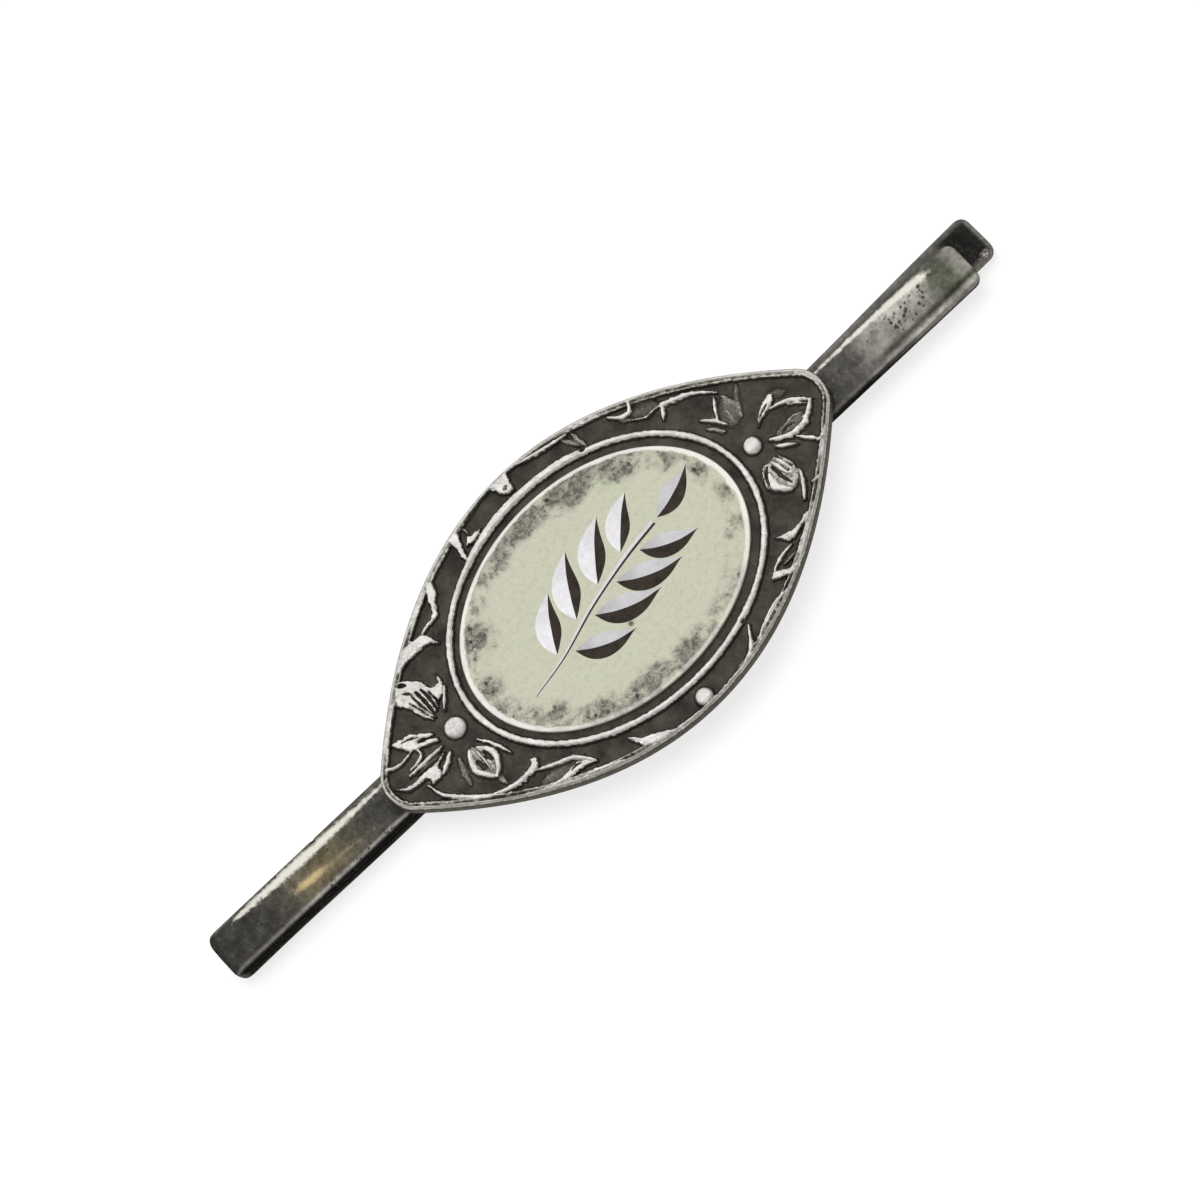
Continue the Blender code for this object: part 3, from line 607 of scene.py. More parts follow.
proud = die - (blurred(die, 5) + blurred(die, 11)) / 2
near = blurred(np.clip(die / 0.3, 0, 1) * (inset > 0.5) * (from_ring > 0.4), 6)
print("proud of its surroundings by", proud.min().round(3), "to", proud.max().round(3), "mm")

# %% [markdown]
# ## The plate as a closed body
#
# A height field alone is a sheet with no back, and its square grid would leave steps along the oval
# outlines. So the plate's mesh is a stack of loops with the same number of points: neighbouring loops
# join into four-sided faces, and a fan closes each end. The strip and the seams are made by the same
# function. It also stores values on the points, which the finishes read later.

# %% Loops into a mesh
def mesh_from_loops(name, loops, values=None, sharp=40):
    """A closed mesh through loops of equal length, in millimetres, with a fan at each end."""
    loops = np.array(loops, float)
    count = loops.shape[1]
    points = loops.reshape(-1, 3)
    ends = [loops[0].mean(axis=0), loops[-1].mean(axis=0)]
    lower = np.arange(len(points) - count).reshape(-1, count)
    right = np.roll(lower, -1, axis=1)
    faces = np.stack([lower, right, right + count, lower + count], axis=2).reshape(-1, 4).tolist()
    first, last = np.arange(count), np.arange(len(points) - count, len(points))
    faces += [(len(points), int(b), int(a)) for a, b in zip(first, np.roll(first, -1))]
    faces += [(len(points) + 1, int(a), int(b)) for a, b in zip(last, np.roll(last, -1))]
    made = bpy.data.meshes.new(name)
    made.from_pydata((np.concatenate([points, ends]) * MM).tolist(), [], faces)
    for label, numbers in (values or {}).items():
        numbers = np.array(numbers, float)
        flat = np.concatenate([numbers.ravel(), [numbers[0].mean(), numbers[-1].mean()]])
        made.attributes.new(label, "FLOAT", "POINT").data.foreach_set("value", flat.astype(np.float32))
    finish_mesh(made, sharp)
    piece = bpy.data.objects.new(name, made)
    bpy.context.scene.collection.objects.link(piece)
    return piece


def finish_mesh(made, sharp):
    """Turns the faces outwards and shades them smooth, but for edges sharper than that angle."""
    shape = bmesh.new()
    shape.from_mesh(made)
    bmesh.ops.recalc_face_normals(shape, faces=shape.faces)
    if shape.calc_volume(signed=True) < 0:
        bmesh.ops.reverse_faces(shape, faces=shape.faces)
    shape.to_mesh(made)
    shape.free()
    made.shade_smooth()
    made.set_sharp_from_angle(angle=math.radians(sharp))


print("meshes so far, all from the frame:", len(bpy.data.meshes))

# %% [markdown]
# Over the face the loops run from under the tablet out to the rim, so they follow both outlines, and
# each point takes its height from the four nearest points of the die. Near the edge the face rolls over
# in a rounded shoulder, as a struck edge does.

# %% The face of the plate
COLUMNS = 1440
ROWS = 112
SHOULDER = 0.3
HIDDEN_EDGE = 0.22
TABLET_HALF = (medallion_high - medallion_low)[:2] / 2


def from_die(field, x, y):
    """A field of the die at any places, from its four nearest points."""
    across = np.clip((x - die_columns[0]) / DIE_STEP, 0, len(die_columns) - 1.001)
    down = np.clip((y - die_rows[0]) / DIE_STEP, 0, len(die_rows) - 1.001)
    column, row = across.astype(int), down.astype(int)
    u, v = across - column, down - row
    upper = field[row, column] * (1 - u) + field[row, column + 1] * u
    lower = field[row + 1, column] * (1 - u) + field[row + 1, column + 1] * u
    return upper * (1 - v) + lower * v


rim_line = outline(COLUMNS)
turn_of_column = np.arctan2(rim_line[:, 1] / RING_HALF[1], rim_line[:, 0] / RING_HALF[0])
round_oval = np.stack([np.cos(turn_of_column), np.sin(turn_of_column)], axis=1)
inner_line = round_oval * (TABLET_HALF - HIDDEN_EDGE)
outward_share = np.linspace(0, 1, ROWS)[:, None, None]
grid = inner_line + (rim_line - inner_line) * outward_share
grid_x, grid_y = grid[..., 0], grid[..., 1]
grid_inset = inset_of(grid_x, grid_y)
shoulder_drop = SHOULDER * (1 - np.sqrt(1 - np.clip(1 - grid_inset / SHOULDER, 0, 1) ** 2))
face_height = from_die(die, grid_x, grid_y) - shoulder_drop
face = np.stack([grid_x + PLATE_X, grid_y, GROUND_Z + face_height], axis=2)
print("face:", ROWS, "loops of", COLUMNS, "points")

# %% [markdown]
# Then the body goes on below the shoulder: an upright wall, a small bevel and a flat back. Wall and back
# weren't struck, so they carry no relief. They get one plain value that the finish shows as worn, half
# blackened silver.

# %% Wall and back, and the struck plate
EDGE_BEVEL = 0.12
UNDER_TABLET = 0.03
WALL_LOOPS = 7
RELIEF_OF_WALL = 0.15
FAR_FROM_EDGE = 3


def plate_loop(share, z, drawn_in=0.0):
    """The outline at height z, scaled about the plate's middle and drawn in by that much."""
    side = np.roll(rim_line, -1, axis=0) - np.roll(rim_line, 1, axis=0)
    outward = np.stack([side[:, 1], -side[:, 0]], axis=1) / np.linalg.norm(side, axis=1)[:, None]
    flat = (rim_line - outward * drawn_in) * share
    return np.column_stack([flat[:, 0] + PLATE_X, flat[:, 1], np.full(COLUMNS, z)])


wall_top = GROUND_Z + RIM_LIFT - SHOULDER
wall = [plate_loop(1, z) for z in np.linspace(wall_top, BACK_Z + EDGE_BEVEL, WALL_LOOPS)[1:]]
back = [plate_loop(1, BACK_Z, EDGE_BEVEL), plate_loop(0.8, BACK_Z), plate_loop(0.4, BACK_Z)]
under_z = np.full(COLUMNS, GROUND_Z - UNDER_TABLET)
under = [np.column_stack([inner_line * share + [PLATE_X, 0], under_z]) for share in (0.3, 0.8)]
plate_loops = np.concatenate([under, face, wall, back])
rows_under = np.zeros((len(under), COLUMNS))
rows_below = np.zeros((len(wall) + len(back), COLUMNS))
plate_values = {
    "relief": np.concatenate([rows_under, face_height, rows_below + RELIEF_OF_WALL]),
    "proud": np.concatenate([rows_under, from_die(proud, grid_x, grid_y), rows_below]),
    "near": np.concatenate([rows_under, from_die(near, grid_x, grid_y), rows_below]),
    "inset": np.concatenate([rows_under + FAR_FROM_EDGE, grid_inset, rows_below]),
}
plate = mesh_from_loops("struck_plate", plate_loops, plate_values)
print("plate:", len(plate.data.polygons), "faces")

# %% [markdown]
# ## The tablet and its engraving
#
# The tablet is a thin oval of silver, slightly crowned, with a small worn bevel. It is a stack of oval
# loops: up the side, over the bevel in five steps, and inwards across the crowned face.

# %% The blank tablet
TABLET_TOP = 0.34
TABLET_CROWN = medallion_high[2] - GROUND_Z - TABLET_TOP
TABLET_BEVEL = 0.13
TABLET_POINTS = 288
BEVEL_STEPS = 5
FACE_REACH = 5.2


def tablet_z(x, y):
    """The height of the tablet's face over a place, from its middle."""
    reach = (x / TABLET_HALF[0]) ** 2 + (y / TABLET_HALF[1]) ** 2
    return GROUND_Z + TABLET_TOP + TABLET_CROWN * (1 - reach)


def tablet_loop(drawn_in, z=None):
    """The tablet's oval drawn in by that much, at height z or else on the crowned face."""
    turns = np.linspace(0, 2 * math.pi, TABLET_POINTS, endpoint=False)
    x, y = (TABLET_HALF[0] - drawn_in) * np.cos(turns), (TABLET_HALF[1] - drawn_in) * np.sin(turns)
    return np.column_stack([x + PLATE_X, y, tablet_z(x, y) if z is None else np.full(TABLET_POINTS, z)])


tablet_loops = [tablet_loop(0, GROUND_Z), tablet_loop(0, GROUND_Z + TABLET_TOP - TABLET_BEVEL)]
for step in range(1, BEVEL_STEPS + 1):
    turn = math.pi / 2 * step / BEVEL_STEPS
    rise = GROUND_Z + TABLET_TOP - TABLET_BEVEL * (1 - math.sin(turn))
    tablet_loops.append(tablet_loop(TABLET_BEVEL * (1 - math.cos(turn)), rise))
tablet_loops += [tablet_loop(TABLET_BEVEL + FACE_REACH * share) for share in np.linspace(0, 1, 14)[1:]]
tablet = mesh_from_loops("oval_tablet", tablet_loops, sharp=50)
print("blank tablet:", len(tablet_loops), "loops,", (2 * TABLET_HALF).round(2), "mm over all")

# %% [markdown]
# An engraver cuts with a square graver, so every cut is a groove with two flat walls and a crisp bottom
# line, widest where the graver was rolled over. Such walls flash light or dark as a whole, which bump
# mapping can't do. So each cut is a three-sided cutter that swells and tapers, and a Boolean takes it
# out of the tablet, which keeps the edges sharp. `CUT_SLOPE` is the depth for each millimetre of half
# width, and the cutter stands `CUT_LIFT` above the face, so that it cuts clean through it.

# %% Graver cuts
CUT_SLOPE = 0.46
CUT_LIFT = 0.06
THINNEST_HALF = 0.015


def graver_cut(shape, points, width, lean=0.0, taper="both"):
    """Adds a swelling three-sided cutter along a line. lean moves its bottom line to one side."""
    line, share = smooth_line(points, step=0.12)
    half = np.maximum(width / 2 * TAPERS[taper](share), THINNEST_HALF)
    heading = np.gradient(line, axis=0)
    heading /= np.linalg.norm(heading, axis=1)[:, None]
    aside = np.column_stack([-heading[:, 1], heading[:, 0]])
    rings = []
    for place, left, wide in zip(line, aside, half):
        z = tablet_z(*place)
        depth = wide * CUT_SLOPE
        grow = 1 + CUT_LIFT / depth
        bottom = place + left * wide * lean
        upper = place + left * wide * (lean + (1 - lean) * grow)
        lower = place + left * wide * (lean - (1 + lean) * grow)
        ring = [(*upper, z + CUT_LIFT), (*bottom, z - depth), (*lower, z + CUT_LIFT)]
        rings.append([shape.verts.new(Vector((x + PLATE_X, y, z)) * MM) for x, y, z in ring])
    for ring, following in zip(rings, rings[1:]):
        # the wall left of the line takes finish 1, painted as lit, and the wall right of it finish 2, painted
        # in shade
        for side, which_finish in ((0, 1), (1, 2), (2, 0)):
            other = (side + 1) % 3
            made = shape.faces.new((ring[side], ring[other], following[other], following[side]))
            made.material_index = which_finish
    shape.faces.new(rings[0])
    shape.faces.new(rings[-1])


def cutter_object(name, shape):
    """The cutters of one shape as an object."""
    bmesh.ops.recalc_face_normals(shape, faces=shape.faces)
    made = bpy.data.meshes.new(name)
    shape.to_mesh(made)
    shape.free()
    tool = bpy.data.objects.new(name, made)
    bpy.context.scene.collection.objects.link(tool)
    return tool


print("a cut 1 mm wide is", CUT_SLOPE / 2, "mm deep")

# %% [markdown]
# The design is a plain leaf spray: a bent stem, four pairs of leaves and one leaf at the end. Leaves of
# a pair stand a little apart on the stem, grow towards the middle of the spray, and lean forward more
# and more, as on a real twig. All leaves are one cutter and the stem is another.

# %% The leaf spray
STEM = [(-6.1, -1.6), (-3.8, -1.15), (-1.0, -0.25), (1.9, 0.4), (4.0, 0.7)]
STEM_WIDTH = 0.3
PAIRS = 4
FIRST_PAIR_AT, PAIR_STEP, PARTNER_BEHIND = 0.22, 0.19, 0.06
FOOT_OFF_STEM = 0.36
stem_line, stem_share = smooth_line(STEM, step=0.05)
leaf_shape, stem_shape = bmesh.new(), bmesh.new()
graver_cut(stem_shape, STEM, STEM_WIDTH, taper="start")


def stem_place(share):
    """A place on the stem and the way it heads there."""
    index = int(np.searchsorted(stem_share, share))
    ahead = min(index + 3, len(stem_line) - 1)
    heading = stem_line[ahead] - stem_line[ahead - 6]
    return stem_line[index], math.atan2(heading[1], heading[0])


def leaf(foot, angle, length, width, bend):
    """A leaf from its foot, curving by bend towards its point."""
    spots = []
    for share in (0.0, 0.3, 0.65, 1.0):
        way = angle + bend * share
        spots.append((foot[0] + math.cos(way) * length * share, foot[1] + math.sin(way) * length * share))
    graver_cut(leaf_shape, spots, width, lean=0.15 if bend > 0 else -0.15, taper="leaf")


for pair in range(PAIRS):
    for side in (1, -1):
        share = FIRST_PAIR_AT + PAIR_STEP * pair + (PARTNER_BEHIND if side < 0 else 0.0)
        place, heading = stem_place(share)
        aside = np.array([-math.sin(heading), math.cos(heading)])
        size = math.sin(math.pi * (0.25 + 0.18 * pair))
        foot = place + FOOT_OFF_STEM * aside * side
        angle = heading + side * math.radians(60 - 3 * pair)
        leaf(foot, angle, 2.3 + 1.3 * size, 0.95 + 0.5 * size, -side * 0.32)
end_place, end_heading = stem_place(1.0)
end_foot = end_place + 0.3 * np.array([math.cos(end_heading), math.sin(end_heading)])
leaf(end_foot, end_heading, 3.0, 1.2, 0.2)
print("spray:", 2 * PAIRS + 1, "leaves,", len(leaf_shape.faces) + len(stem_shape.faces), "faces of cutters")

# %% [markdown]
# The Boolean hands each cutter's finish on to the wall that it leaves, by its place in the list of
# materials, so that one wall of each cut takes a finish painted as lit and the other a finish painted in
# shade. So the materials are made now, still empty, and filled in later. `use_self` tells the Boolean that
# the leaves of one cutter may cross each other. The cut tablet then becomes a plain mesh, and its cutters go.

# %% Cut the tablet
FINISHES = (
    "struck_silver", "tablet_silver", "cut_wall_painted_lit", "cut_wall_painted_shade", "strip_silver", "solder_silver",
)
finish = {name: bpy.data.materials.new(name) for name in FINISHES}


def paint(piece, *names):
    """Puts finishes into the piece's list of materials."""
    for name in names:
        piece.data.materials.append(finish[name])


cutters = [cutter_object("leaf_cuts", leaf_shape), cutter_object("stem_cut", stem_shape)]
for tool in cutters:
    cut = tablet.modifiers.new(tool.name, "BOOLEAN")
    cut.operation = "DIFFERENCE"
    cut.solver = "EXACT"
    cut.use_self = True
    cut.object = tool
for piece in [tablet] + cutters:
    paint(piece, "tablet_silver", "cut_wall_painted_lit", "cut_wall_painted_shade")
cut_tablet = tablet.evaluated_get(bpy.context.evaluated_depsgraph_get())
tablet.data = bpy.data.meshes.new_from_object(cut_tablet)
tablet.modifiers.clear()
for tool in cutters:
    bpy.data.objects.remove(tool)
tablet.data.shade_smooth()
tablet.data.set_sharp_from_angle(angle=math.radians(12))
paint(plate, "struck_silver")
walls = [face.material_index for face in tablet.data.polygons]
print("tablet:", len(walls), "faces, of which cut walls:", sum(index > 0 for index in walls))

# %% [markdown]
# ## The folded strip
#
# The strip is one length of half-round edged silver, folded into a hairpin: a straight front leg that
# the plate is soldered to, a tight fold, and a longer back leg. The back leg dips away and comes up
# again, so it presses on the cloth. A curve object with a bevel could follow that path, but it would
# twist at the fold and end in flat caps. So a section of our own is swept along the path, set by set.
# First come its sizes. What the frame knows is read from it.

# %% Sizes of the strip
STRIP_HALF, STRIP_THICK = 1.3, 0.65
END_CORNER, FOLD_CORNER = 0.55, 0.32
END_SOFTNESS = 0.14
STEP = 0.07
fold_low, fold_high = box_mm("hairpin_bend")
FOLD_RADIUS = (fold_high[2] - fold_low[2] - STRIP_THICK) / 2
FOLD_X = fold_low[0] + FOLD_RADIUS + STRIP_THICK / 2
FRONT_Z = box_mm("front_leg")[1][2] - STRIP_THICK / 2
FRONT_SKEW, REAR_SKEW = math.radians(-0.57), math.radians(0.35)
FOLD_Y = -math.tan(FRONT_SKEW) * (PLATE_X - FOLD_X)
FOLD_GAP, TIE_GAP, MOUTH_GAP = 0.3, 0.9, 0.3
FLAT_START, FLAT_END = 12.0, 38.0
HINGE_GAP = 0.043
FRONT_LENGTH = 49.7
REAR_LENGTH = 51.2
UP = np.array([0.0, 0.0, 1.0])
print("strip: fold radius", round(FOLD_RADIUS, 3), "mm, front leg's middle at", round(FRONT_Z, 3), "mm")

# %% [markdown]
# A path needs a few rules. Seen from above, the two legs run a little askew to each other, so each has
# its own two axes. Both free ends have rounded corners and edges that were filed soft. Sections lie
# closer together towards an end, where the corner turns fastest. And the back leg goes from one gap to
# another in a gentle ramp, which has no kink at either end.

# %% Rules for the path
def plan_axes(skew):
    """The way along a leg and the way across it, seen from above."""
    return np.array([math.cos(skew), math.sin(skew), 0]), np.array([-math.sin(skew), math.cos(skew), 0])


def end_half(to_end):
    """Half width, and share of the thickness, at a distance from a free end with two round corners."""
    corner = max(0.0, 1 - to_end / END_CORNER)
    half = STRIP_HALF - END_CORNER * (1 - math.sqrt(1 - corner**2))
    soft = max(0.0, 1 - to_end / END_SOFTNESS)
    return half, 1 - 0.45 * (1 - math.sqrt(1 - soft**2))


def spread(length):
    """Distances along a leg, closer together towards its free end."""
    close = length - END_CORNER - 0.1
    run = np.linspace(0.0, close, int(close / STEP))
    turns = np.linspace(0, math.pi / 2, 14)[1:]
    return np.append(run, close + (length - close) * np.sin(turns))


def ramp(rise, run, distance):
    """Height and slope at a distance along a smooth ramp of that rise and run."""
    turn = math.pi * np.clip(distance / run, 0, 1)
    return rise * (1 - math.cos(turn)) / 2, rise * math.pi / (2 * run) * math.sin(turn)


print("sections along the legs:", len(spread(FRONT_LENGTH)), "and", len(spread(REAR_LENGTH)))

# %% [markdown]
# Now the path is walked once, from the front leg's free end, round the fold, to the back leg's free end.
# At each station we keep the middle of the strip, the way across it and the way out of its outer face,
# how wide and thick it is there, and how far we have travelled. At the fold's end the corners are
# rounded too, as the strip was hammered round a rod there.

# %% Stations along the path
FOLD_STATIONS = 34
FOLD_TRAVEL = 2

stations = []
along, across = plan_axes(FRONT_SKEW)
for s in spread(FRONT_LENGTH)[::-1]:
    half, thick = end_half(FRONT_LENGTH - s)
    middle = np.array([FOLD_X, FOLD_Y, FRONT_Z]) + along * s
    stations.append((middle, across, UP, half, thick, s))
for turn in np.linspace(0, math.pi, FOLD_STATIONS)[1:-1]:
    along, across = plan_axes(FRONT_SKEW + (REAR_SKEW - FRONT_SKEW) * turn / math.pi)
    outward = UP * math.cos(turn) - along * math.sin(turn)
    middle = np.array([FOLD_X, FOLD_Y, FRONT_Z - FOLD_RADIUS]) + outward * FOLD_RADIUS
    corner = max(0.0, 1 - (FOLD_RADIUS + STRIP_THICK / 2) * (1 - math.sin(turn)) / FOLD_CORNER)
    half = STRIP_HALF - FOLD_CORNER * (1 - math.sqrt(1 - corner**2))
    stations.append((middle, across, outward, half, 1.0, -FOLD_RADIUS * turn))
along, across = plan_axes(REAR_SKEW)
for s in spread(REAR_LENGTH):
    lift, rise = 0.0, 0.0
    if s < FLAT_START:
        lift, fall = ramp(TIE_GAP - FOLD_GAP, FLAT_START - HINGE_GAP, FLAT_START - s)
        rise = -fall
    elif s > FLAT_END:
        lift, rise = ramp(TIE_GAP - MOUTH_GAP, REAR_LENGTH - FLAT_END, s - FLAT_END)
    half, thick = end_half(REAR_LENGTH - s)
    pitch = math.atan(rise)
    middle = np.array([FOLD_X, FOLD_Y, STRIP_THICK / 2 + lift]) + along * s
    outward = along * math.sin(pitch) - UP * math.cos(pitch)
    stations.append((middle, across, outward, half, thick, -FOLD_TRAVEL - s))
print("path:", len(stations), "stations")

# %% [markdown]
# The strip's section isn't a plain box. Its outer corners are rolled over in a broad round, its inner
# corners are only a little soft, and the outer face is crowned by a few hundredths, which is what makes
# its shine run along it as a streak.

# %% Section of the strip
ROLL_WIDTH, ROLL_DROP = 0.34, 0.19
INNER_ROUND = 0.07
INNER_POINTS, CROWN_POINTS = 9, 27
CROWN_DROP = 0.015


def strip_section():
    """Points round the section, as distances across and outward, for the full width."""
    half, top = STRIP_HALF, STRIP_THICK / 2
    points = [(u, -top) for u in np.linspace(-half + INNER_ROUND, half - INNER_ROUND, INNER_POINTS)]
    for turn in np.linspace(-math.pi / 2, 0, 4)[1:]:
        u = half - INNER_ROUND + INNER_ROUND * math.cos(turn)
        points.append((u, -top + INNER_ROUND + INNER_ROUND * math.sin(turn)))
    for turn in np.linspace(0, math.pi / 2, 9):
        u = half - ROLL_WIDTH + ROLL_WIDTH * math.cos(turn) ** 0.8
        points.append((u, top - ROLL_DROP + (ROLL_DROP - CROWN_DROP) * math.sin(turn) ** 0.8))
    crown = half - ROLL_WIDTH
    mirrored = [(-u, v) for u, v in reversed(points[INNER_POINTS:])]
    for u in np.linspace(crown, -crown, CROWN_POINTS)[1:-1]:
        points.append((u, top - CROWN_DROP * (u / crown) ** 2))
    return np.array(points + mirrored)


section_u, section_v = strip_section().T
print("section:", len(section_u), "points")

# %% [markdown]
# Hand-drawn strip is never quite flat: its faces swell and dip a little over some millimetres, and it
# has been knocked about. The swelling is Blender's noise, read along and across the strip. The pits are
# dealt out by chance, but in four named places where wear has left them, and one larger nick in the
# edge is given its own place.

# %% Pits and the edge's nick
# where they lie along and across, how large and how deep
PITS = {
    "near the open end": (38, (19.5, 21.9), (-0.5, 0.65), (0.05, 0.13), 0.06),
    "along the right stub": (26, (15.6, 23.0), (-0.95, 0.95), (0.04, 0.09), 0.03),
    "along the left stub": (34, (-24.5, -14.8), (-1.1, 1.1), (0.04, 0.1), 0.03),
    "on its rolled edge": (16, (-20.5, -14.8), (-1.22, -0.95), (0.05, 0.1), 0.05),
}
EDGE_NICK = (-18.65, 1.28, 0.16, 0.12)

chance = random.Random(11)
pit_places = []
for count, along_range, across_range, size_range, depth in PITS.values():
    for _ in range(count):
        spot = (chance.uniform(*along_range), chance.uniform(*across_range), chance.uniform(*size_range))
        pit_places.append((*spot, depth * chance.uniform(0.5, 1)))
pit_places.append(EDGE_NICK)
pit_places = np.array(pit_places)
print("pits:", len(pit_places), "of which deepest", pit_places[:, 3].max(), "mm")

# %% Sweep the strip
LOWERED = 0.010

strip_loops, hollow = [], []
for middle, across, outward, half, thick, travelled in stations:
    u = section_u * half / STRIP_HALF
    v = section_v * thick
    place = middle + np.outer(u, across) + np.outer(v, outward)
    bumps = np.array([noise.noise(Vector((0.45 * travelled, 1.1 * x, 4.0))) for x in u])
    fine = np.array([noise.noise(Vector((2.6 * travelled, 3.1 * x, 9.0))) for x in u])
    shift = np.minimum(0.014 * bumps + 0.004 * fine - LOWERED, 0)
    depth = np.zeros(len(u))
    if outward[2] > 0.99:
        apart = np.hypot(place[:, :1] - pit_places[:, 0], u[:, None] - pit_places[:, 1])
        reach = apart / pit_places[:, 2]
        depth = (pit_places[:, 3] * np.clip(1 - reach**2, 0, 1)).max(axis=1) * (section_v > 0)
    place += np.outer((shift - depth) * (section_v > 0.05), outward)
    strip_loops.append(place)
    hollow.append(depth)
print("deepest pit on the mesh:", round(float(np.max(hollow)), 3), "mm")

# %% [markdown]
# The strip's skin differs from place to place, far more than noise alone could make it: dark at the
# fold, light in the middle of the stubs, rubbed through along one edge, with painted light and shade
# along its edges. So it is drawn in numbers and kept on the mesh for the finish. One value is how light
# the skin is, painted light and shade included; one is where hands and cloth have rubbed it through,
# which is also a painted highlight; two tint it brown and olive; and one lays on a painted reflection
# with a gold tint. Each depends on the distance from the plate's middle and the distance across the
# strip. Small tables hold how they change along it.

# %% Tables of the skin
# the place along the strip, and the tone there; from 23.5 on the tone is painted light on the open end's
# rounded lip
TONE_ALONG = [
    (-26, 0.056), (-23.5, 0.062), (-22, 0.085), (-20.5, 0.15), (-18.5, 0.13), (-17, 0.085), (-14.5, 0.06),
    (14.5, 0.07), (16.5, 0.10), (17.8, 0.24), (20, 0.36), (21.6, 0.28), (22.3, 0.115), (23.1, 0.12),
    (23.5, 0.27), (24.2, 0.33),
]
# the place along the strip, and the middle across it, half width and strength there of the band that is
# rubbed through and painted as a highlight
UPPER_RUB_AND_HIGHLIGHT = [
    (-24.9, 1.00, 0.1, 0.0), (-24.3, 1.00, 0.24, 0.9), (-22, 0.93, 0.40, 1.1), (-20, 0.88, 0.46, 1.15),
    (-18.3, 0.86, 0.38, 1.1), (-16.5, 0.86, 0.27, 1.0), (-14.8, 0.86, 0.18, 0.8), (14.8, 1.02, 0.14, 0.8),
    (17, 1.05, 0.20, 1.0), (19, 1.04, 0.26, 1.1), (21, 0.95, 0.36, 1.15), (21.9, 0.88, 0.36, 1.1),
    (22.7, 0.86, 0.15, 0.0),
]
# the same columns for the lower edge, where a thin rubbed line is also a painted highlight
LOWER_RUB_AND_HIGHLIGHT = [
    (-25, -1.1, 0.16, 0.5), (-20, -1.1, 0.18, 0.85), (-14.8, -1.1, 0.16, 0.75), (14.8, -1.08, 0.16, 0.15),
    (19, -1.12, 0.18, 0.25), (21.5, -1.1, 0.24, 0.45), (23.4, -1.04, 0.28, 0.6),
]


def step_up(value, low, high):
    """0 below low and 1 above high, smooth between them."""
    share = np.clip((value - low) / (high - low), 0, 1)
    return share * share * (3 - 2 * share)


def hump(value, middle, reach):
    """1 at the middle, falling smoothly to 0 at reach on both sides."""
    return 1 - step_up(np.abs(value - middle), 0, reach)


def from_table(table, x):
    """The table's values at a place along the strip."""
    columns = np.array(table).T
    return [float(np.interp(x, columns[0], column)) for column in columns[1:]]


def band_of_rub_and_highlight(table, x, u):
    """How strong a band along an edge is, where it is rubbed through and painted as a highlight."""
    middle, wide, strength = from_table(table, x)
    return strength * hump(u, middle, wide)


print("tone at the fold and at the open end:", TONE_ALONG[0][1], TONE_ALONG[-1][1])

# %% [markdown]
# On the front leg the skin is built up in layers, as a painter would: the tone along the leg, a line of
# painted shade beside the lower edge, painted light on the upper part of the open stub, the two turned
# edges, of which the lower one is painted in shade, the rubbed bands, which are also painted highlights,
# and on the left stub a painted reflection with a gold tint that runs slantwise.

# %% Skin of the front leg
def front_skin(x, u):
    """Skin on the front leg's face, at a place along it and places across."""
    open_stub = float(step_up(x, 16.5, 18.5))
    # painted shade: a dark line beside the lower edge of the open stub, which also takes the olive tint
    painted_shade_line = hump(u, -0.78, 0.34) * open_stub
    tone = from_table(TONE_ALONG, x)[0] * (1 - 0.75 * painted_shade_line)
    # painted light: the upper part of the open stub is made lighter
    lit = step_up(x, 15, 18) * step_up(u, -0.2, 0.9) * (1 - step_up(x, 21.8, 22.4))
    tone = tone * (1 + 0.35 * lit)
    turned_edge = 1.12 - 0.14 * float(step_up(x, -18.75, -18.45)) * (1 - float(step_up(x, -13, -11)))
    # the lower turned edge is painted in shade, nearly black, and the upper one is set to a mid grey
    upper, lower = step_up(u, turned_edge, turned_edge + 0.1), step_up(-u, 1.14, 1.24)
    tone = tone * (1 - upper) + 0.13 * upper
    tone = tone * (1 - lower) + (0.018 + 0.20 * float(step_up(x, 16, 22))) * lower
    # a thin line along the lower edge, rubbed and also a painted highlight
    tone = tone + 0.30 * band_of_rub_and_highlight(LOWER_RUB_AND_HIGHLIGHT, x, u)
    # the band along the upper edge, rubbed through and also a painted highlight
    rub_and_highlight = band_of_rub_and_highlight(UPPER_RUB_AND_HIGHLIGHT, x, u)
    # painted reflection: a slanting streak on the left stub, lighter and tinted gold
    off_streak = u + 0.13 + 0.07 * (x + 21.4)
    tone = tone + 0.10 * hump(x, -20.0, 2.6) * hump(off_streak, 0, 0.6)
    gold_reflection = 1.25 * hump(x, -20.4, 1.9) * hump(off_streak, 0, 0.4)
    gold_reflection = gold_reflection + 0.55 * hump(x, -17.8, 1.9) * hump(off_streak, 0, 0.22)
    brown = hump(x, -19.6, 4.2) * (1 - step_up(-u, 0.85, 1.05))
    olive = hump(x, 22.7, 1.5) * (1 - step_up(-u, 0.9, 1.1)) + 0.5 * painted_shade_line
    return tone, rub_and_highlight, brown, gold_reflection, olive


print("gold at the streak's middle:", np.round(front_skin(-20.4, np.array([-0.2]))[3], 2))

# %% [markdown]
# The back leg is seen only beside the front leg and beyond its end. Its skin is nearly black, lighter
# towards the open end and on its outer face, and darker on its inner face from x=23.2 on; its edges, its
# tip's end and one corner of the tip carry painted highlights. Round the fold one skin passes smoothly
# into the other.

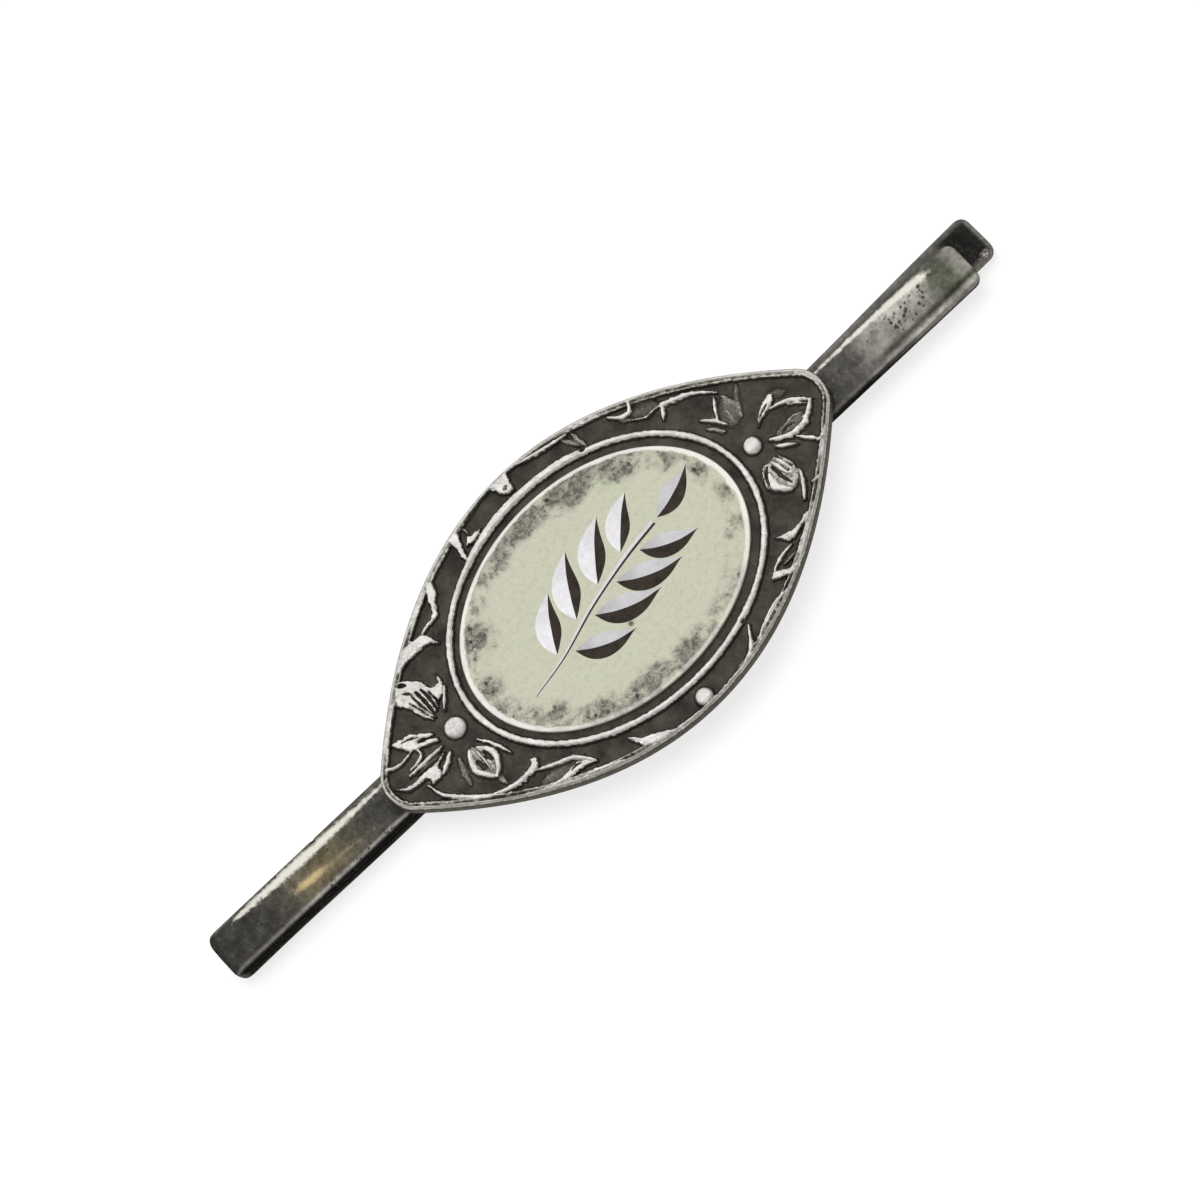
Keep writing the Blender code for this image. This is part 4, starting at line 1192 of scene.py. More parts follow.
# %% Skin of the back leg
def back_skin(x, u, to_end, inside):
    """Skin on the back leg. inside is 1 on the face that looks at the front leg."""
    # painted highlight: the edges and the end of the tip are lighter
    edge = np.maximum(step_up(np.abs(u), 1.0, 1.2), float(1 - step_up(to_end, 0.12, 0.3)))
    dark = float(step_up(x, 23.2, 24.0)) * inside
    shown = float(step_up(x, 5, 15))
    tone = 0.02 + 0.09 * shown * (1 - dark) + edge * shown * (0.08 + 0.06 * dark) + 0.08 * (1 - inside)
    # painted highlight on the lower corner of the tip
    rub_and_highlight = 0.55 * inside * hump(x, 25.1, 0.8) * hump(u, -1.05, 0.4)
    plain = np.zeros(len(u))
    return tone, rub_and_highlight, 0.5 * (1 - inside), plain, plain


print("skins:", len(front_skin(0, section_u)), "values on each of", len(section_u), "points")

# %% The strip with its skin
SKIN_VALUES = ("tone", "rub_and_highlight", "brown", "gold_reflection", "olive")
FULL_PIT = 0.05
INNER_TONE = 0.05

skin = []
for middle, across, outward, half, thick, travelled in stations:
    x, u = middle[0] - PLATE_X, section_u * half / STRIP_HALF
    inside = 1 - step_up(section_v, -0.3, 0.2)
    front = front_skin(x, u)
    back = back_skin(x, u, REAR_LENGTH + FOLD_TRAVEL + travelled, inside)
    behind = float(step_up(-outward[2], -0.2, 0.6))
    rows = [ahead * (1 - behind) + after * behind for ahead, after in zip(front, back)]
    rows[0] = np.where((section_v < 0) & (outward[2] > 0), INNER_TONE, rows[0])
    rows[1] = rows[1] * np.where(outward[2] > 0.5, section_v > 0, 1)
    skin.append(rows)
skin = np.array(skin)
strip_values = {name: skin[:, row] for row, name in enumerate(SKIN_VALUES)}
strip_values["pit"] = np.array(hollow) / FULL_PIT
strip = mesh_from_loops("folded_strip", strip_loops, strip_values, sharp=60)
paint(strip, "strip_silver")
print("strip:", len(strip.data.polygons), "faces")

# %% [markdown]
# ## Solder
#
# Two seams of silver solder hold the strip to the plate's back, one under each tip. Solder creeps out
# of the joint and freezes with hollow sides and an uneven edge. They hardly show, so a stack of seven
# rounded oblongs is enough, drawn in a little at half height.

# %% Solder seams
SEAM_POINTS = 96
SEAM_LOOPS = 7
SQUARENESS = 0.35


def solder_seam(node):
    """A thin irregular pad that fills the gap between strip and plate."""
    low, high = box_mm(node)
    middle, reach = (low + high) / 2, (high - low) / 2
    turns = np.linspace(0, 2 * math.pi, SEAM_POINTS, endpoint=False)
    pad = np.column_stack([np.cos(turns), np.sin(turns)])
    pad = np.sign(pad) * np.abs(pad) ** SQUARENESS * reach[:2]
    pad *= (1 + 0.05 * waves(pad[:, 0], pad[:, 1], 1.2, 14))[:, None]
    rows = []
    for share in np.linspace(0, 1, SEAM_LOOPS):
        drawn = 1 - 0.05 * math.sin(math.pi * share)
        z = low[2] + 2 * reach[2] * share
        rows.append(np.column_stack([pad * drawn + middle[:2], np.full(SEAM_POINTS, z)]))
    seam = mesh_from_loops(node.replace("solder", "seam"), rows)
    paint(seam, "solder_silver")
    return seam


seams = {node: solder_seam(node) for node in ("solder_fold_side", "solder_open_side")}
print("seams:", ", ".join(seam.name for seam in seams.values()))

# %% [markdown]
# ## What moves with what
#
# The clip lies on its back leg, and the front rises when it opens. The plate, tablet and seams ride on
# the front. The strip belongs to both bodies, and cutting it in two would leave a crack at the fold. So
# it stays whole and is tied to neither: its place is baked into its mesh, and the frame's strip parts are
# hidden.

# %% Tie the pieces to the frame
for piece, nodes, slot in (
    (plate, ["face_plate"], "oxidised_silver"),
    (tablet, ["medallion"], "worn_silver"),
    (seams["solder_fold_side"], ["solder_fold_side"], "solder_silver"),
    (seams["solder_open_side"], ["solder_open_side"], "solder_silver"),
):
    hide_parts(*nodes)
    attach(piece, "clip_front")
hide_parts("front_leg", "hairpin_bend", "rear_leg_root", "rear_leg_middle", "rear_leg_tip")
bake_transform(strip)

# %% [markdown]
# ## Tools for the finishes
#
# Old silver is bright metal under a skin of dark sulphide. The skin stays in hollows and is rubbed
# off high spots, and where it is thin it looks brown, grey or a little green. Every finish is a tree of
# shader nodes with no pictures in it, so it has no seams and can be changed by one number. Node trees
# get long, so a few short helpers come first. `add` makes a node and feeds its inputs, and `new_group`
# starts a node group.

# %% Nodes and groups
def feed(tree, socket, value):
    """Links another node's output to the socket, or sets the socket to a plain value."""
    if isinstance(value, bpy.types.NodeSocket):
        tree.links.new(value, socket)
    else:
        socket.default_value = value


def add(tree, kind, inputs=None, **settings):
    """A new node with its settings, and with values or links for its inputs."""
    made = tree.nodes.new(kind)
    for name, value in settings.items():
        setattr(made, name, value)
    for name, value in (inputs or {}).items():
        feed(tree, made.inputs[name], value)
    return made


def new_group(name, inputs, outputs):
    """An empty shader node group. Inputs are (name, kind, default) and outputs (name, kind)."""
    tree = bpy.data.node_groups.new(name, "ShaderNodeTree")
    for label, kind, default in inputs:
        socket = tree.interface.new_socket(label, in_out="INPUT", socket_type=kind)
        socket.default_value = default
    for label, kind in outputs:
        tree.interface.new_socket(label, in_out="OUTPUT", socket_type=kind)
    print("group", name, "takes", [row[0] for row in inputs], "and gives", [row[0] for row in outputs])
    return tree, tree.nodes.new("NodeGroupInput").outputs, tree.nodes.new("NodeGroupOutput")


print("finishes to fill in:", ", ".join(finish))

# %% [markdown]
# Most nodes only do sums. `times`, `plus` and `less` are Math nodes, `remap` is a smooth step between two
# levels, and `mix_colour` lays one colour over another.

# %% Sums and mixed colours
def math_node(tree, operation, first, second, clamp=False):
    """The output of a Math node."""
    made = add(tree, "ShaderNodeMath", {0: first, 1: second}, operation=operation, use_clamp=clamp)
    return made.outputs[0]


def times(tree, first, second):
    """first times second."""
    return math_node(tree, "MULTIPLY", first, second)


def plus(tree, first, second):
    """first plus second."""
    return math_node(tree, "ADD", first, second)


def less(tree, first, second):
    """first less second."""
    return math_node(tree, "SUBTRACT", first, second)


def remap(tree, value, low, high, to_low=0.0, to_high=1.0):
    """A smooth step: to_low up to low, to_high from high on."""
    ends = {"Value": value, "From Min": low, "From Max": high, "To Min": to_low, "To Max": to_high}
    return add(tree, "ShaderNodeMapRange", ends, interpolation_type="SMOOTHSTEP").outputs["Result"]


def mix_colour(tree, factor, first, second):
    """The first colour where factor is 0, the second where it is 1."""
    made = add(tree, "ShaderNodeMix", data_type="RGBA", blend_type="MIX", clamp_factor=True)
    for socket, value in ((made.inputs[0], factor), (made.inputs[6], first), (made.inputs[7], second)):
        feed(tree, socket, value)
    return made.outputs[2]


FLOAT, VECTOR = "NodeSocketFloat", "NodeSocketVector"
print("sockets of the groups:", FLOAT, "and", VECTOR)

# %% [markdown]
# A few effects return in every finish, so each is a node group with named inputs, built once and placed
# in each material with its own values. The first is tarnish, which grows in clouds with frayed edges:
# coarse noise plus a share of fine noise, cut at a level that sets how much is covered. `Crispness`
# narrows the cut, from a haze to a hard edge. The group also gives the fine noise itself as `Grain`.

# %% Group: cloudy tarnish
tarnish, given, put_out = new_group(
    "cloudy tarnish",
    [("Place", VECTOR, (0, 0, 0)), ("Size", FLOAT, 1.0), ("Amount", FLOAT, 0.5), ("Crispness", FLOAT, 0.5)],
    [("Mask", FLOAT), ("Grain", FLOAT)],
)
scale = math_node(tarnish, "DIVIDE", 1.0, given["Size"])
coarse_noise = {"Vector": given["Place"], "Scale": scale, "Detail": 7.0, "Roughness": 0.62}
cloud = add(tarnish, "ShaderNodeTexNoise", coarse_noise).outputs[0]
fine_noise = {"Vector": given["Place"], "Scale": times(tarnish, scale, 5.0), "Detail": 4.0}
grain = add(tarnish, "ShaderNodeTexNoise", fine_noise).outputs[0]
both = plus(tarnish, times(tarnish, cloud, 0.78), times(tarnish, grain, 0.22))
half_width = less(tarnish, 0.26, times(tarnish, given["Crispness"], 0.24))
middle_level = remap(tarnish, given["Amount"], 0.0, 1.0, 0.72, 0.28)
low_level = less(tarnish, middle_level, half_width)
high_level = plus(tarnish, middle_level, half_width)
tarnish.links.new(remap(tarnish, both, low_level, high_level), put_out.inputs["Mask"])
tarnish.links.new(grain, put_out.inputs["Grain"])

# %% [markdown]
# Years of rubbing leave hair scratches that run in a few directions. One noise, stretched long and thin,
# gives scratches that all run one way. So four of them are turned against each other, and only their
# highest crests count.

# %% Group: hair scratches
scratches, given, put_out = new_group(
    "hair scratches",
    [("Place", VECTOR, (0, 0, 0)), ("Length", FLOAT, 2.0), ("Width", FLOAT, 0.03), ("Turn", FLOAT, 0.0)],
    [("Mask", FLOAT)],
)
fans = []
for step, share in enumerate((0.0, 0.35, -0.8, 1.4)):
    angle = add(scratches, "ShaderNodeCombineXYZ", {"Z": plus(scratches, given["Turn"], share)})
    turn = {"Vector": given["Place"], "Rotation": angle.outputs[0]}
    turned = add(scratches, "ShaderNodeVectorRotate", turn, rotation_type="EULER_XYZ")
    long = math_node(scratches, "DIVIDE", 1.0, given["Length"])
    thin = math_node(scratches, "DIVIDE", 1.0, given["Width"])
    stretch = add(scratches, "ShaderNodeCombineXYZ", {"X": long, "Y": thin, "Z": 1.0 + step})
    both = {0: turned.outputs[0], 1: stretch.outputs[0]}
    drawn = add(scratches, "ShaderNodeVectorMath", both, operation="MULTIPLY")
    lines = add(scratches, "ShaderNodeTexNoise", {"Vector": drawn.outputs[0], "Scale": 1.0, "Detail": 1.0})
    fans.append(remap(scratches, lines.outputs[0], 0.63, 0.74))
total = fans[0]
for fan in fans[1:]:
    total = math_node(scratches, "MAXIMUM", total, fan)
scratches.links.new(total, put_out.inputs["Mask"])

# %% [markdown]
# Tarnish eats small round pits. Voronoi cells each have one centre, so a pit is the disk round that
# centre. Each cell's chance colour decides whether it holds a pit at all, and how large it is.

# %% Group: small pits
pits, given, put_out = new_group(
    "small pits",
    [("Place", VECTOR, (0, 0, 0)), ("Spacing", FLOAT, 0.5), ("Size", FLOAT, 0.3), ("Share", FLOAT, 0.3)],
    [("Mask", FLOAT)],
)
per_mm = math_node(pits, "DIVIDE", 1.0, given["Spacing"])
cells = add(pits, "ShaderNodeTexVoronoi", {"Vector": given["Place"], "Scale": per_mm})
chosen = add(pits, "ShaderNodeSeparateColor", {"Color": cells.outputs["Color"]})
is_pit = math_node(pits, "LESS_THAN", chosen.outputs["Red"], given["Share"])
reach = times(pits, given["Size"], remap(pits, chosen.outputs["Green"], 0.0, 1.0, 0.4, 1.0))
outwards = math_node(pits, "DIVIDE", cells.outputs["Distance"], reach)
inwards = math_node(pits, "SUBTRACT", 1.0, outwards, clamp=True)
pits.links.new(times(pits, remap(pits, inwards, 0.0, 0.5), is_pit), put_out.inputs["Mask"])

# %% [markdown]
# Noise alone would spread the tarnish evenly, but here it sits in certain corners. A soft oval spot at a
# chosen place, with its own reach each way, tells the noise where it may show.

# %% Group: a stain at a place
stain, given, put_out = new_group(
    "stain at a place",
    [("Place", VECTOR, (0, 0, 0)), ("Centre", VECTOR, (0, 0, 0)), ("Reach", VECTOR, (1, 1, 1))],
    [("Mask", FLOAT)],
)
away = add(stain, "ShaderNodeVectorMath", {0: given["Place"], 1: given["Centre"]}, operation="SUBTRACT")
away = add(stain, "ShaderNodeVectorMath", {0: away.outputs[0], 1: given["Reach"]}, operation="DIVIDE")
away = add(stain, "ShaderNodeVectorMath", {0: away.outputs[0]}, operation="LENGTH")
stain.links.new(remap(stain, away.outputs["Value"], 1.0, 0.15), put_out.inputs["Mask"])

# %% [markdown]
# Each material starts the same way: a Principled shader, and the place on the piece in millimetres,
# which Object coordinates give at any pose. So the tarnish stays on the metal when the clip opens. The
# shader's own sockets hold what is the same all over. Some colours return in several finishes, and they
# are named here.

# %% Start of a material
# how far a stain reaches up and down: far enough to take in the whole thickness
ANY_HEIGHT = 9
OXIDE = (0.022, 0.020, 0.016, 1)
OXIDE_WORN = (0.056, 0.051, 0.043, 1)
BRIGHT_SILVER = (0.98, 0.96, 0.91, 1)


def start_finish(name):
    """The material's tree, its shader and the place in millimetres."""
    made = finish[name]
    made.use_nodes = True
    tree = made.node_tree
    shader = tree.nodes["Principled BSDF"]
    place = add(tree, "ShaderNodeTexCoord").outputs["Object"]
    in_mm = add(tree, "ShaderNodeVectorMath", {0: place, 3: 1 / MM}, operation="SCALE")
    return tree, shader, in_mm.outputs[0]


def read_value(tree, name):
    """A value that the mesh keeps on its points."""
    return add(tree, "ShaderNodeAttribute", attribute_name=name).outputs["Fac"]


def use_group(tree, group, output="Mask", **inputs):
    """One output of a group, placed with its own values."""
    return add(tree, "ShaderNodeGroup", inputs, node_tree=group).outputs[output]


def stains(tree, place, spots):
    """The strongest of several stains. Each has its middle, its reach each way and its strength."""
    total = None
    for x, y, reach_x, reach_y, strength in spots:
        centre, reach = (x + PLATE_X, y, GROUND_Z), (reach_x, reach_y, ANY_HEIGHT)
        mask = times(tree, use_group(tree, stain, Place=place, Centre=centre, Reach=reach), strength)
        total = mask if total is None else math_node(tree, "MAXIMUM", total, mask)
    return total


def bump(tree, shader, height, strength, distance):
    """Small dents: the height feeds the shader's Normal. distance is in millimetres."""
    dents = {"Height": height, "Strength": strength, "Distance": distance * MM}
    tree.links.new(add(tree, "ShaderNodeBump", dents).outputs[0], shader.inputs["Normal"])


def connect(tree, shader, **values):
    """Sets or links the shader's sockets, so that base_color feeds Base Color."""
    for label, value in values.items():
        feed(tree, shader.inputs[label.replace("_", " ").title()], value)


print("groups for the finishes:", ", ".join(group.name for group in (tarnish, scratches, pits, stain)))

# %% [markdown]
# ### The struck plate
#
# The whole plate was blackened, and then the top of the relief was polished again. So the colour comes
# from one level: the height, plus how proud a place stands, less some cloud and grain, which let the
# edge between black and silver wander. Black oxide lies on the ground, with brown where it is worn or
# where relief is close by. Brown skin lies on the slopes, old silver on the crests, and bright silver on
# the highest of them. Grey patches, dirt and scratches go over all. On the outer edge of the rim a
# painted shade turns the silver grey, most on the side that looks at us, broken up by the dirt clouds.

# %% Finish of the plate
BROWN_SKIN = (0.20, 0.18, 0.145, 1)
OLD_SILVER = (0.78, 0.755, 0.69, 1)
# grey for patches on the silver, and for the painted shade on the rim's outer edge
GREY_PATCH_AND_EDGE_SHADE = (0.40, 0.385, 0.36, 1)

tree, shader, place = start_finish("struck_silver")
relief, proud_by = read_value(tree, "relief"), read_value(tree, "proud")
close_by, inside_by = read_value(tree, "near"), read_value(tree, "inset")
cloud = use_group(tree, tarnish, Place=place, Size=0.9, Amount=0.5, Crispness=0.3)
worn_ground = use_group(tree, tarnish, Place=place, Size=1.4, Amount=0.42, Crispness=0.2)
uneven = use_group(tree, tarnish, Place=place, Size=0.75, Amount=0.45, Crispness=0.3)
dirt = use_group(tree, tarnish, Place=place, Size=0.3, Amount=0.4, Crispness=0.25)
grain = use_group(tree, tarnish, "Grain", Place=place, Size=0.55)
lines = use_group(tree, scratches, Place=place, Length=1.6, Width=0.035, Turn=0.5)
level = plus(tree, relief, times(tree, proud_by, 0.9))
level = plus(tree, level, times(tree, less(tree, grain, 0.5), 0.2))
level = less(tree, level, times(tree, cloud, 0.035))
silver = remap(tree, level, 0.14, 0.32)
print("plate's masks:", len(tree.nodes), "nodes")

# %% Colours of the plate
half_rubbed = times(tree, remap(tree, close_by, 0.16, 0.62), remap(tree, grain, 0.2, 0.8, 0.35, 1.0))
across = add(tree, "ShaderNodeSeparateXYZ", {"Vector": place}).outputs["Y"]
# painted shade: the rim's outer edge turns grey, most towards the near side, broken up by dirt clouds
rim_edge_painted_shade = times(tree, remap(tree, inside_by, 0.32, 0.16), remap(tree, dirt, 0.0, 1.0, 0.4, 1.0))
rim_edge_painted_shade = times(tree, rim_edge_painted_shade, remap(tree, across, 1.5, -2.5, 0.25, 0.9))

colour = mix_colour(tree, cloud, OXIDE, OXIDE_WORN)
colour = mix_colour(tree, times(tree, worn_ground, 0.34), colour, BROWN_SKIN)
colour = mix_colour(tree, times(tree, half_rubbed, 0.75), colour, BROWN_SKIN)
colour = mix_colour(tree, remap(tree, level, 0.03, 0.24), colour, BROWN_SKIN)
colour = mix_colour(tree, silver, colour, OLD_SILVER)
colour = mix_colour(tree, remap(tree, level, 0.28, 0.39), colour, BRIGHT_SILVER)
colour = mix_colour(tree, times(tree, times(tree, uneven, silver), 0.5), colour, GREY_PATCH_AND_EDGE_SHADE)
colour = mix_colour(tree, times(tree, dirt, 0.28), colour, OXIDE_WORN)
colour = mix_colour(tree, times(tree, rim_edge_painted_shade, silver), colour, GREY_PATCH_AND_EDGE_SHADE)
colour = mix_colour(tree, times(tree, lines, 0.25), colour, OXIDE_WORN)
connect(tree, shader, base_color=colour, metallic=remap(tree, level, 0.0, 0.25, 0.75, 1.0),
        roughness=remap(tree, level, 0.05, 0.32, 0.5, 0.27), specular_tint=(0.4, 0.4, 0.4, 1))
rough_ground = plus(tree, times(tree, grain, 0.6), times(tree, lines, -0.4))
rough_ground = times(tree, rough_ground, remap(tree, level, 0.1, 0.3, 1.0, 0.25))
bump(tree, shader, rough_ground, 0.5, 0.02)
print("plate's finish:", len(tree.nodes), "nodes")

# %% [markdown]
# ### The tablet
#
# The tablet is smooth and pale, with a faint green cast. Tarnish has crept in from its edge, in some
# places far and in others not at all. So a list of stains says where it may lie, in millimetres from
# the tablet's middle, and clouds of two sizes break it up into a soft grey and a dark speckle. Small
# pits sit in the worst of it, and one lone dot lies in the open. The very edge is rubbed bright and
# carries a painted highlight, weaker on the side that looks at us.

# %% Where the tablet is stained
TABLET_SILVER = (0.61, 0.63, 0.475, 1)
TABLET_WARM = (0.63, 0.61, 0.50, 1)
TABLET_CLOUD = (0.28, 0.275, 0.235, 1)
TABLET_TARNISH = (0.10, 0.095, 0.078, 1)
# middle along and across, reach along and across, and strength
TABLET_STAINS = [
    (-0.6, 5.35, 2.8, 1.25, 1.15), (2.2, 5.1, 2.8, 1.5, 1.35), (4.9, 4.2, 2.4, 1.5, 1.2),
    (-3.4, 4.9, 2.4, 1.1, 0.95), (6.7, 2.7, 1.4, 1.4, 0.7), (-6.3, 2.7, 1.8, 1.7, 0.95),
    (-7.3, 0.3, 1.2, 1.2, 0.85), (-4.6, -4.4, 2.4, 1.0, 0.9), (-1.7, -5.2, 2.6, 1.2, 1.15),
    (1.2, -5.25, 2.4, 1.0, 0.95), (4.0, -4.7, 2.0, 0.9, 0.5), (7.4, 1.2, 0.8, 1.2, 0.8),
    (7.5, -0.8, 0.8, 1.4, 0.7), (6.5, -2.5, 0.9, 0.7, 0.7), (-5.9, -3.0, 1.3, 1.0, 0.8),
]
LONE_DOT, DOT_REACH = (PLATE_X - 0.25, -2.3, GROUND_Z), (0.22, 0.22, ANY_HEIGHT)

tree, shader, place = start_finish("tablet_silver")
from_middle = add(tree, "ShaderNodeVectorMath", {0: place, 1: (PLATE_X, 0, 0)}, operation="SUBTRACT")
shares = {0: from_middle.outputs[0], 1: (1 / TABLET_HALF[0], 1 / TABLET_HALF[1], 0)}
shares = add(tree, "ShaderNodeVectorMath", shares, operation="MULTIPLY").outputs[0]
oval = add(tree, "ShaderNodeVectorMath", {0: shares}, operation="LENGTH").outputs["Value"]
broad = use_group(tree, tarnish, Place=place, Size=3.0, Amount=0.5, Crispness=0.1)
blotch = use_group(tree, tarnish, Place=place, Size=0.6, Amount=0.5, Crispness=0.35)
speck = use_group(tree, tarnish, Place=place, Size=0.26, Amount=0.45, Crispness=0.5)
near_edge = times(tree, remap(tree, oval, 0.74, 0.95), remap(tree, broad, 0.2, 0.8, 0.15, 0.75))
crept = math_node(tree, "MAXIMUM", stains(tree, place, TABLET_STAINS), near_edge)
soft = remap(tree, times(tree, crept, plus(tree, blotch, 0.35)), 0.08, 0.85)
dark = times(tree, plus(tree, speck, 0.25), plus(tree, blotch, 0.15))
dark = remap(tree, times(tree, crept, dark), 0.14, 0.75)
holes = use_group(tree, pits, Place=place, Spacing=0.42, Size=0.42, Share=0.34)
holes = times(tree, holes, remap(tree, crept, 0.3, 0.9))
lone = use_group(tree, stain, Place=place, Centre=LONE_DOT, Reach=DOT_REACH)
holes = math_node(tree, "MAXIMUM", holes, lone)
print("tablet's masks:", len(TABLET_STAINS), "stains,", len(tree.nodes), "nodes")

# %% Colours of the tablet
lines = use_group(tree, scratches, Place=place, Length=2.4, Width=0.03, Turn=0.9)
grain = use_group(tree, tarnish, "Grain", Place=place, Size=1.2)
wobbly_oval = plus(tree, oval, times(tree, less(tree, blotch, 0.5), 0.02))
across = add(tree, "ShaderNodeSeparateXYZ", {"Vector": place}).outputs["Y"]
# painted highlight: the rubbed edge is bright, weaker on the near side
edge_rub_and_highlight = times(tree, remap(tree, wobbly_oval, 0.955, 0.972), remap(tree, across, -5.6, -2.2, 0.35, 0.8))

colour = mix_colour(tree, broad, TABLET_SILVER, TABLET_WARM)
colour = mix_colour(tree, remap(tree, speck, 0.2, 1.0, 0.0, 0.12), colour, TABLET_TARNISH)
colour = mix_colour(tree, times(tree, soft, 0.8), colour, TABLET_CLOUD)
colour = mix_colour(tree, times(tree, dark, 0.8), colour, TABLET_TARNISH)
colour = mix_colour(tree, times(tree, holes, 0.85), colour, OXIDE)
colour = mix_colour(tree, times(tree, lines, 0.10), colour, TABLET_TARNISH)
colour = mix_colour(tree, edge_rub_and_highlight, colour, BRIGHT_SILVER)
connect(tree, shader, base_color=colour, metallic=1.0, roughness=plus(tree, 0.26, times(tree, soft, 0.2)))
dented = less(tree, times(tree, grain, 0.25), holes)
bump(tree, shader, less(tree, dented, times(tree, lines, 0.2)), 0.35, 0.03)
print("tablet's finish:", len(tree.nodes), "nodes")

# %% [markdown]
# The graver leaves its own polish on the walls of each cut. The wall on the left of each cut's line is
# painted as lit, pale and bright, and the other is painted in shade, nearly black. They differ only in
# colours and gloss, so one loop fills in both.

# %% Finish of the cut walls
# clean colour, dirty colour and roughness
CUT_WALLS = {
    "cut_wall_painted_lit": ((0.93, 0.915, 0.945, 1), (0.80, 0.785, 0.81, 1), 0.16),
    "cut_wall_painted_shade": ((0.06, 0.048, 0.038, 1), (0.025, 0.02, 0.016, 1), 0.26),
}
for name, (clean, dirty, gloss) in CUT_WALLS.items():
    tree, shader, place = start_finish(name)
    dirt = use_group(tree, tarnish, Place=place, Size=0.5, Amount=0.45, Crispness=0.2)
    lines = use_group(tree, scratches, Place=place, Length=1.5, Width=0.02, Turn=0.2)
    colour = mix_colour(tree, dirt, clean, dirty)
    connect(tree, shader, base_color=colour, metallic=1.0,
            roughness=plus(tree, gloss, times(tree, lines, 0.15)))
    bump(tree, shader, lines, 0.3, 0.01)
    print(name, "has", len(tree.nodes), "nodes")

# %% [markdown]
# ### The strip
#
# The strip was never polished again, so its skin is thick: nearly black at the fold and on the back
# leg, brown along the front leg, and olive near the open end, with painted light and shade in its tone
# and a painted reflection with a gold tint in one streak. One edge is rubbed to silver and painted as a
# highlight. The values on the mesh say where, as `tone` times a tint. Clouds of two sizes mottle the
# tone, and a ragged edge frays the gold reflection and the rubbed band.

# %% Finish of the strip
PLAIN_SKIN = (1.0, 0.95, 0.86, 1)
BROWN_TINT = (1.0, 0.84, 0.52, 1)
OLIVE_TINT = (0.96, 1.0, 0.74, 1)
STRIP_GOLD_REFLECTION = (0.66, 0.52, 0.27, 1)
STRIP_RUBBED_AND_HIGHLIT = (0.82, 0.79, 0.71, 1)

tree, shader, place = start_finish("strip_silver")
tone, rubbed_and_highlit, brown, gold_reflection, olive, pit = (read_value(tree, name) for name in (*SKIN_VALUES, "pit"))
cloud = use_group(tree, tarnish, Place=place, Size=1.1, Amount=0.5, Crispness=0.25)
fine = use_group(tree, tarnish, Place=place, Size=0.3, Amount=0.5, Crispness=0.2)
grain = use_group(tree, tarnish, "Grain", Place=place, Size=0.7)
lines = use_group(tree, scratches, Place=place, Length=3.0, Width=0.03, Turn=0.0)
mottled = times(tree, remap(tree, cloud, 0.0, 1.0, 0.72, 1.25), remap(tree, fine, 0.0, 1.0, 0.78, 1.2))
rough_edge = times(tree, less(tree, grain, 0.5), 1.1)
rough_edge = plus(tree, rough_edge, times(tree, less(tree, fine, 0.5), 0.42))
# painted reflection tinted gold, with a frayed edge
gold_reflection_mask = remap(tree, plus(tree, gold_reflection, times(tree, rough_edge, 0.65)), 0.2, 1.25, 0.0, 0.92)
# rubbed silver along the edge, which is also a painted highlight
bared_and_highlit = remap(tree, plus(tree, rubbed_and_highlit, times(tree, rough_edge, 0.85)), 0.12, 1.02)

tint = mix_colour(tree, brown, PLAIN_SKIN, BROWN_TINT)
tint = mix_colour(tree, olive, tint, OLIVE_TINT)
toned = {0: tint, 3: times(tree, tone, mottled)}
colour = add(tree, "ShaderNodeVectorMath", toned, operation="SCALE").outputs[0]
colour = mix_colour(tree, gold_reflection_mask, colour, STRIP_GOLD_REFLECTION)
colour = mix_colour(tree, bared_and_highlit, colour, STRIP_RUBBED_AND_HIGHLIT)
colour = mix_colour(tree, times(tree, lines, 0.02), colour, STRIP_RUBBED_AND_HIGHLIT)
colour = mix_colour(tree, remap(tree, pit, 0.05, 0.6, 0.0, 0.85), colour, OXIDE)
connect(tree, shader, base_color=colour, metallic=1.0, roughness=remap(tree, bared_and_highlit, 0.0, 1.0, 0.42, 0.28),
        specular_tint=(0.3, 0.3, 0.3, 1))
dented = plus(tree, times(tree, fine, 0.3), times(tree, lines, -0.08))
bump(tree, shader, dented, 0.3, 0.02)
print("strip's finish:", len(tree.nodes), "nodes")

# %% [markdown]
# ### The solder
#
# Solder is greyer than silver and stays a little rough, because nothing ever rubs it. Clouds of worn
# oxide and a grain in the gloss are enough for two seams that hardly show.

# %% Finish of the solder
SOLDER_GREY = (0.32, 0.31, 0.27, 1)

tree, shader, place = start_finish("solder_silver")
cloud = use_group(tree, tarnish, Place=place, Size=0.4, Amount=0.6, Crispness=0.3)
grain = use_group(tree, tarnish, "Grain", Place=place, Size=0.3)
connect(tree, shader, base_color=mix_colour(tree, cloud, SOLDER_GREY, OXIDE_WORN), metallic=1.0,
        roughness=remap(tree, grain, 0.3, 0.7, 0.38, 0.6))
bump(tree, shader, grain, 0.5, 0.02)
print("solder's finish:", len(tree.nodes), "nodes")

# %% [markdown]
# ## The studio
#
# The clip lies on pale paper that the camera sees as white, but for the shadow. White paint under strong
# lamps would do that too, and burn out the silver. So the paper itself is a dark grey, which takes the
# shadow, and it glows for camera rays. Glossy and transmission rays are added, so that the metal mirrors
# the same white floor, and nothing else is lit by the glow.

# %% Floor
FLOOR_HALF = 0.9
FLOOR_SQUARES = 24
PAPER_GREY = 0.20
PAPER_GLOW = 0.74

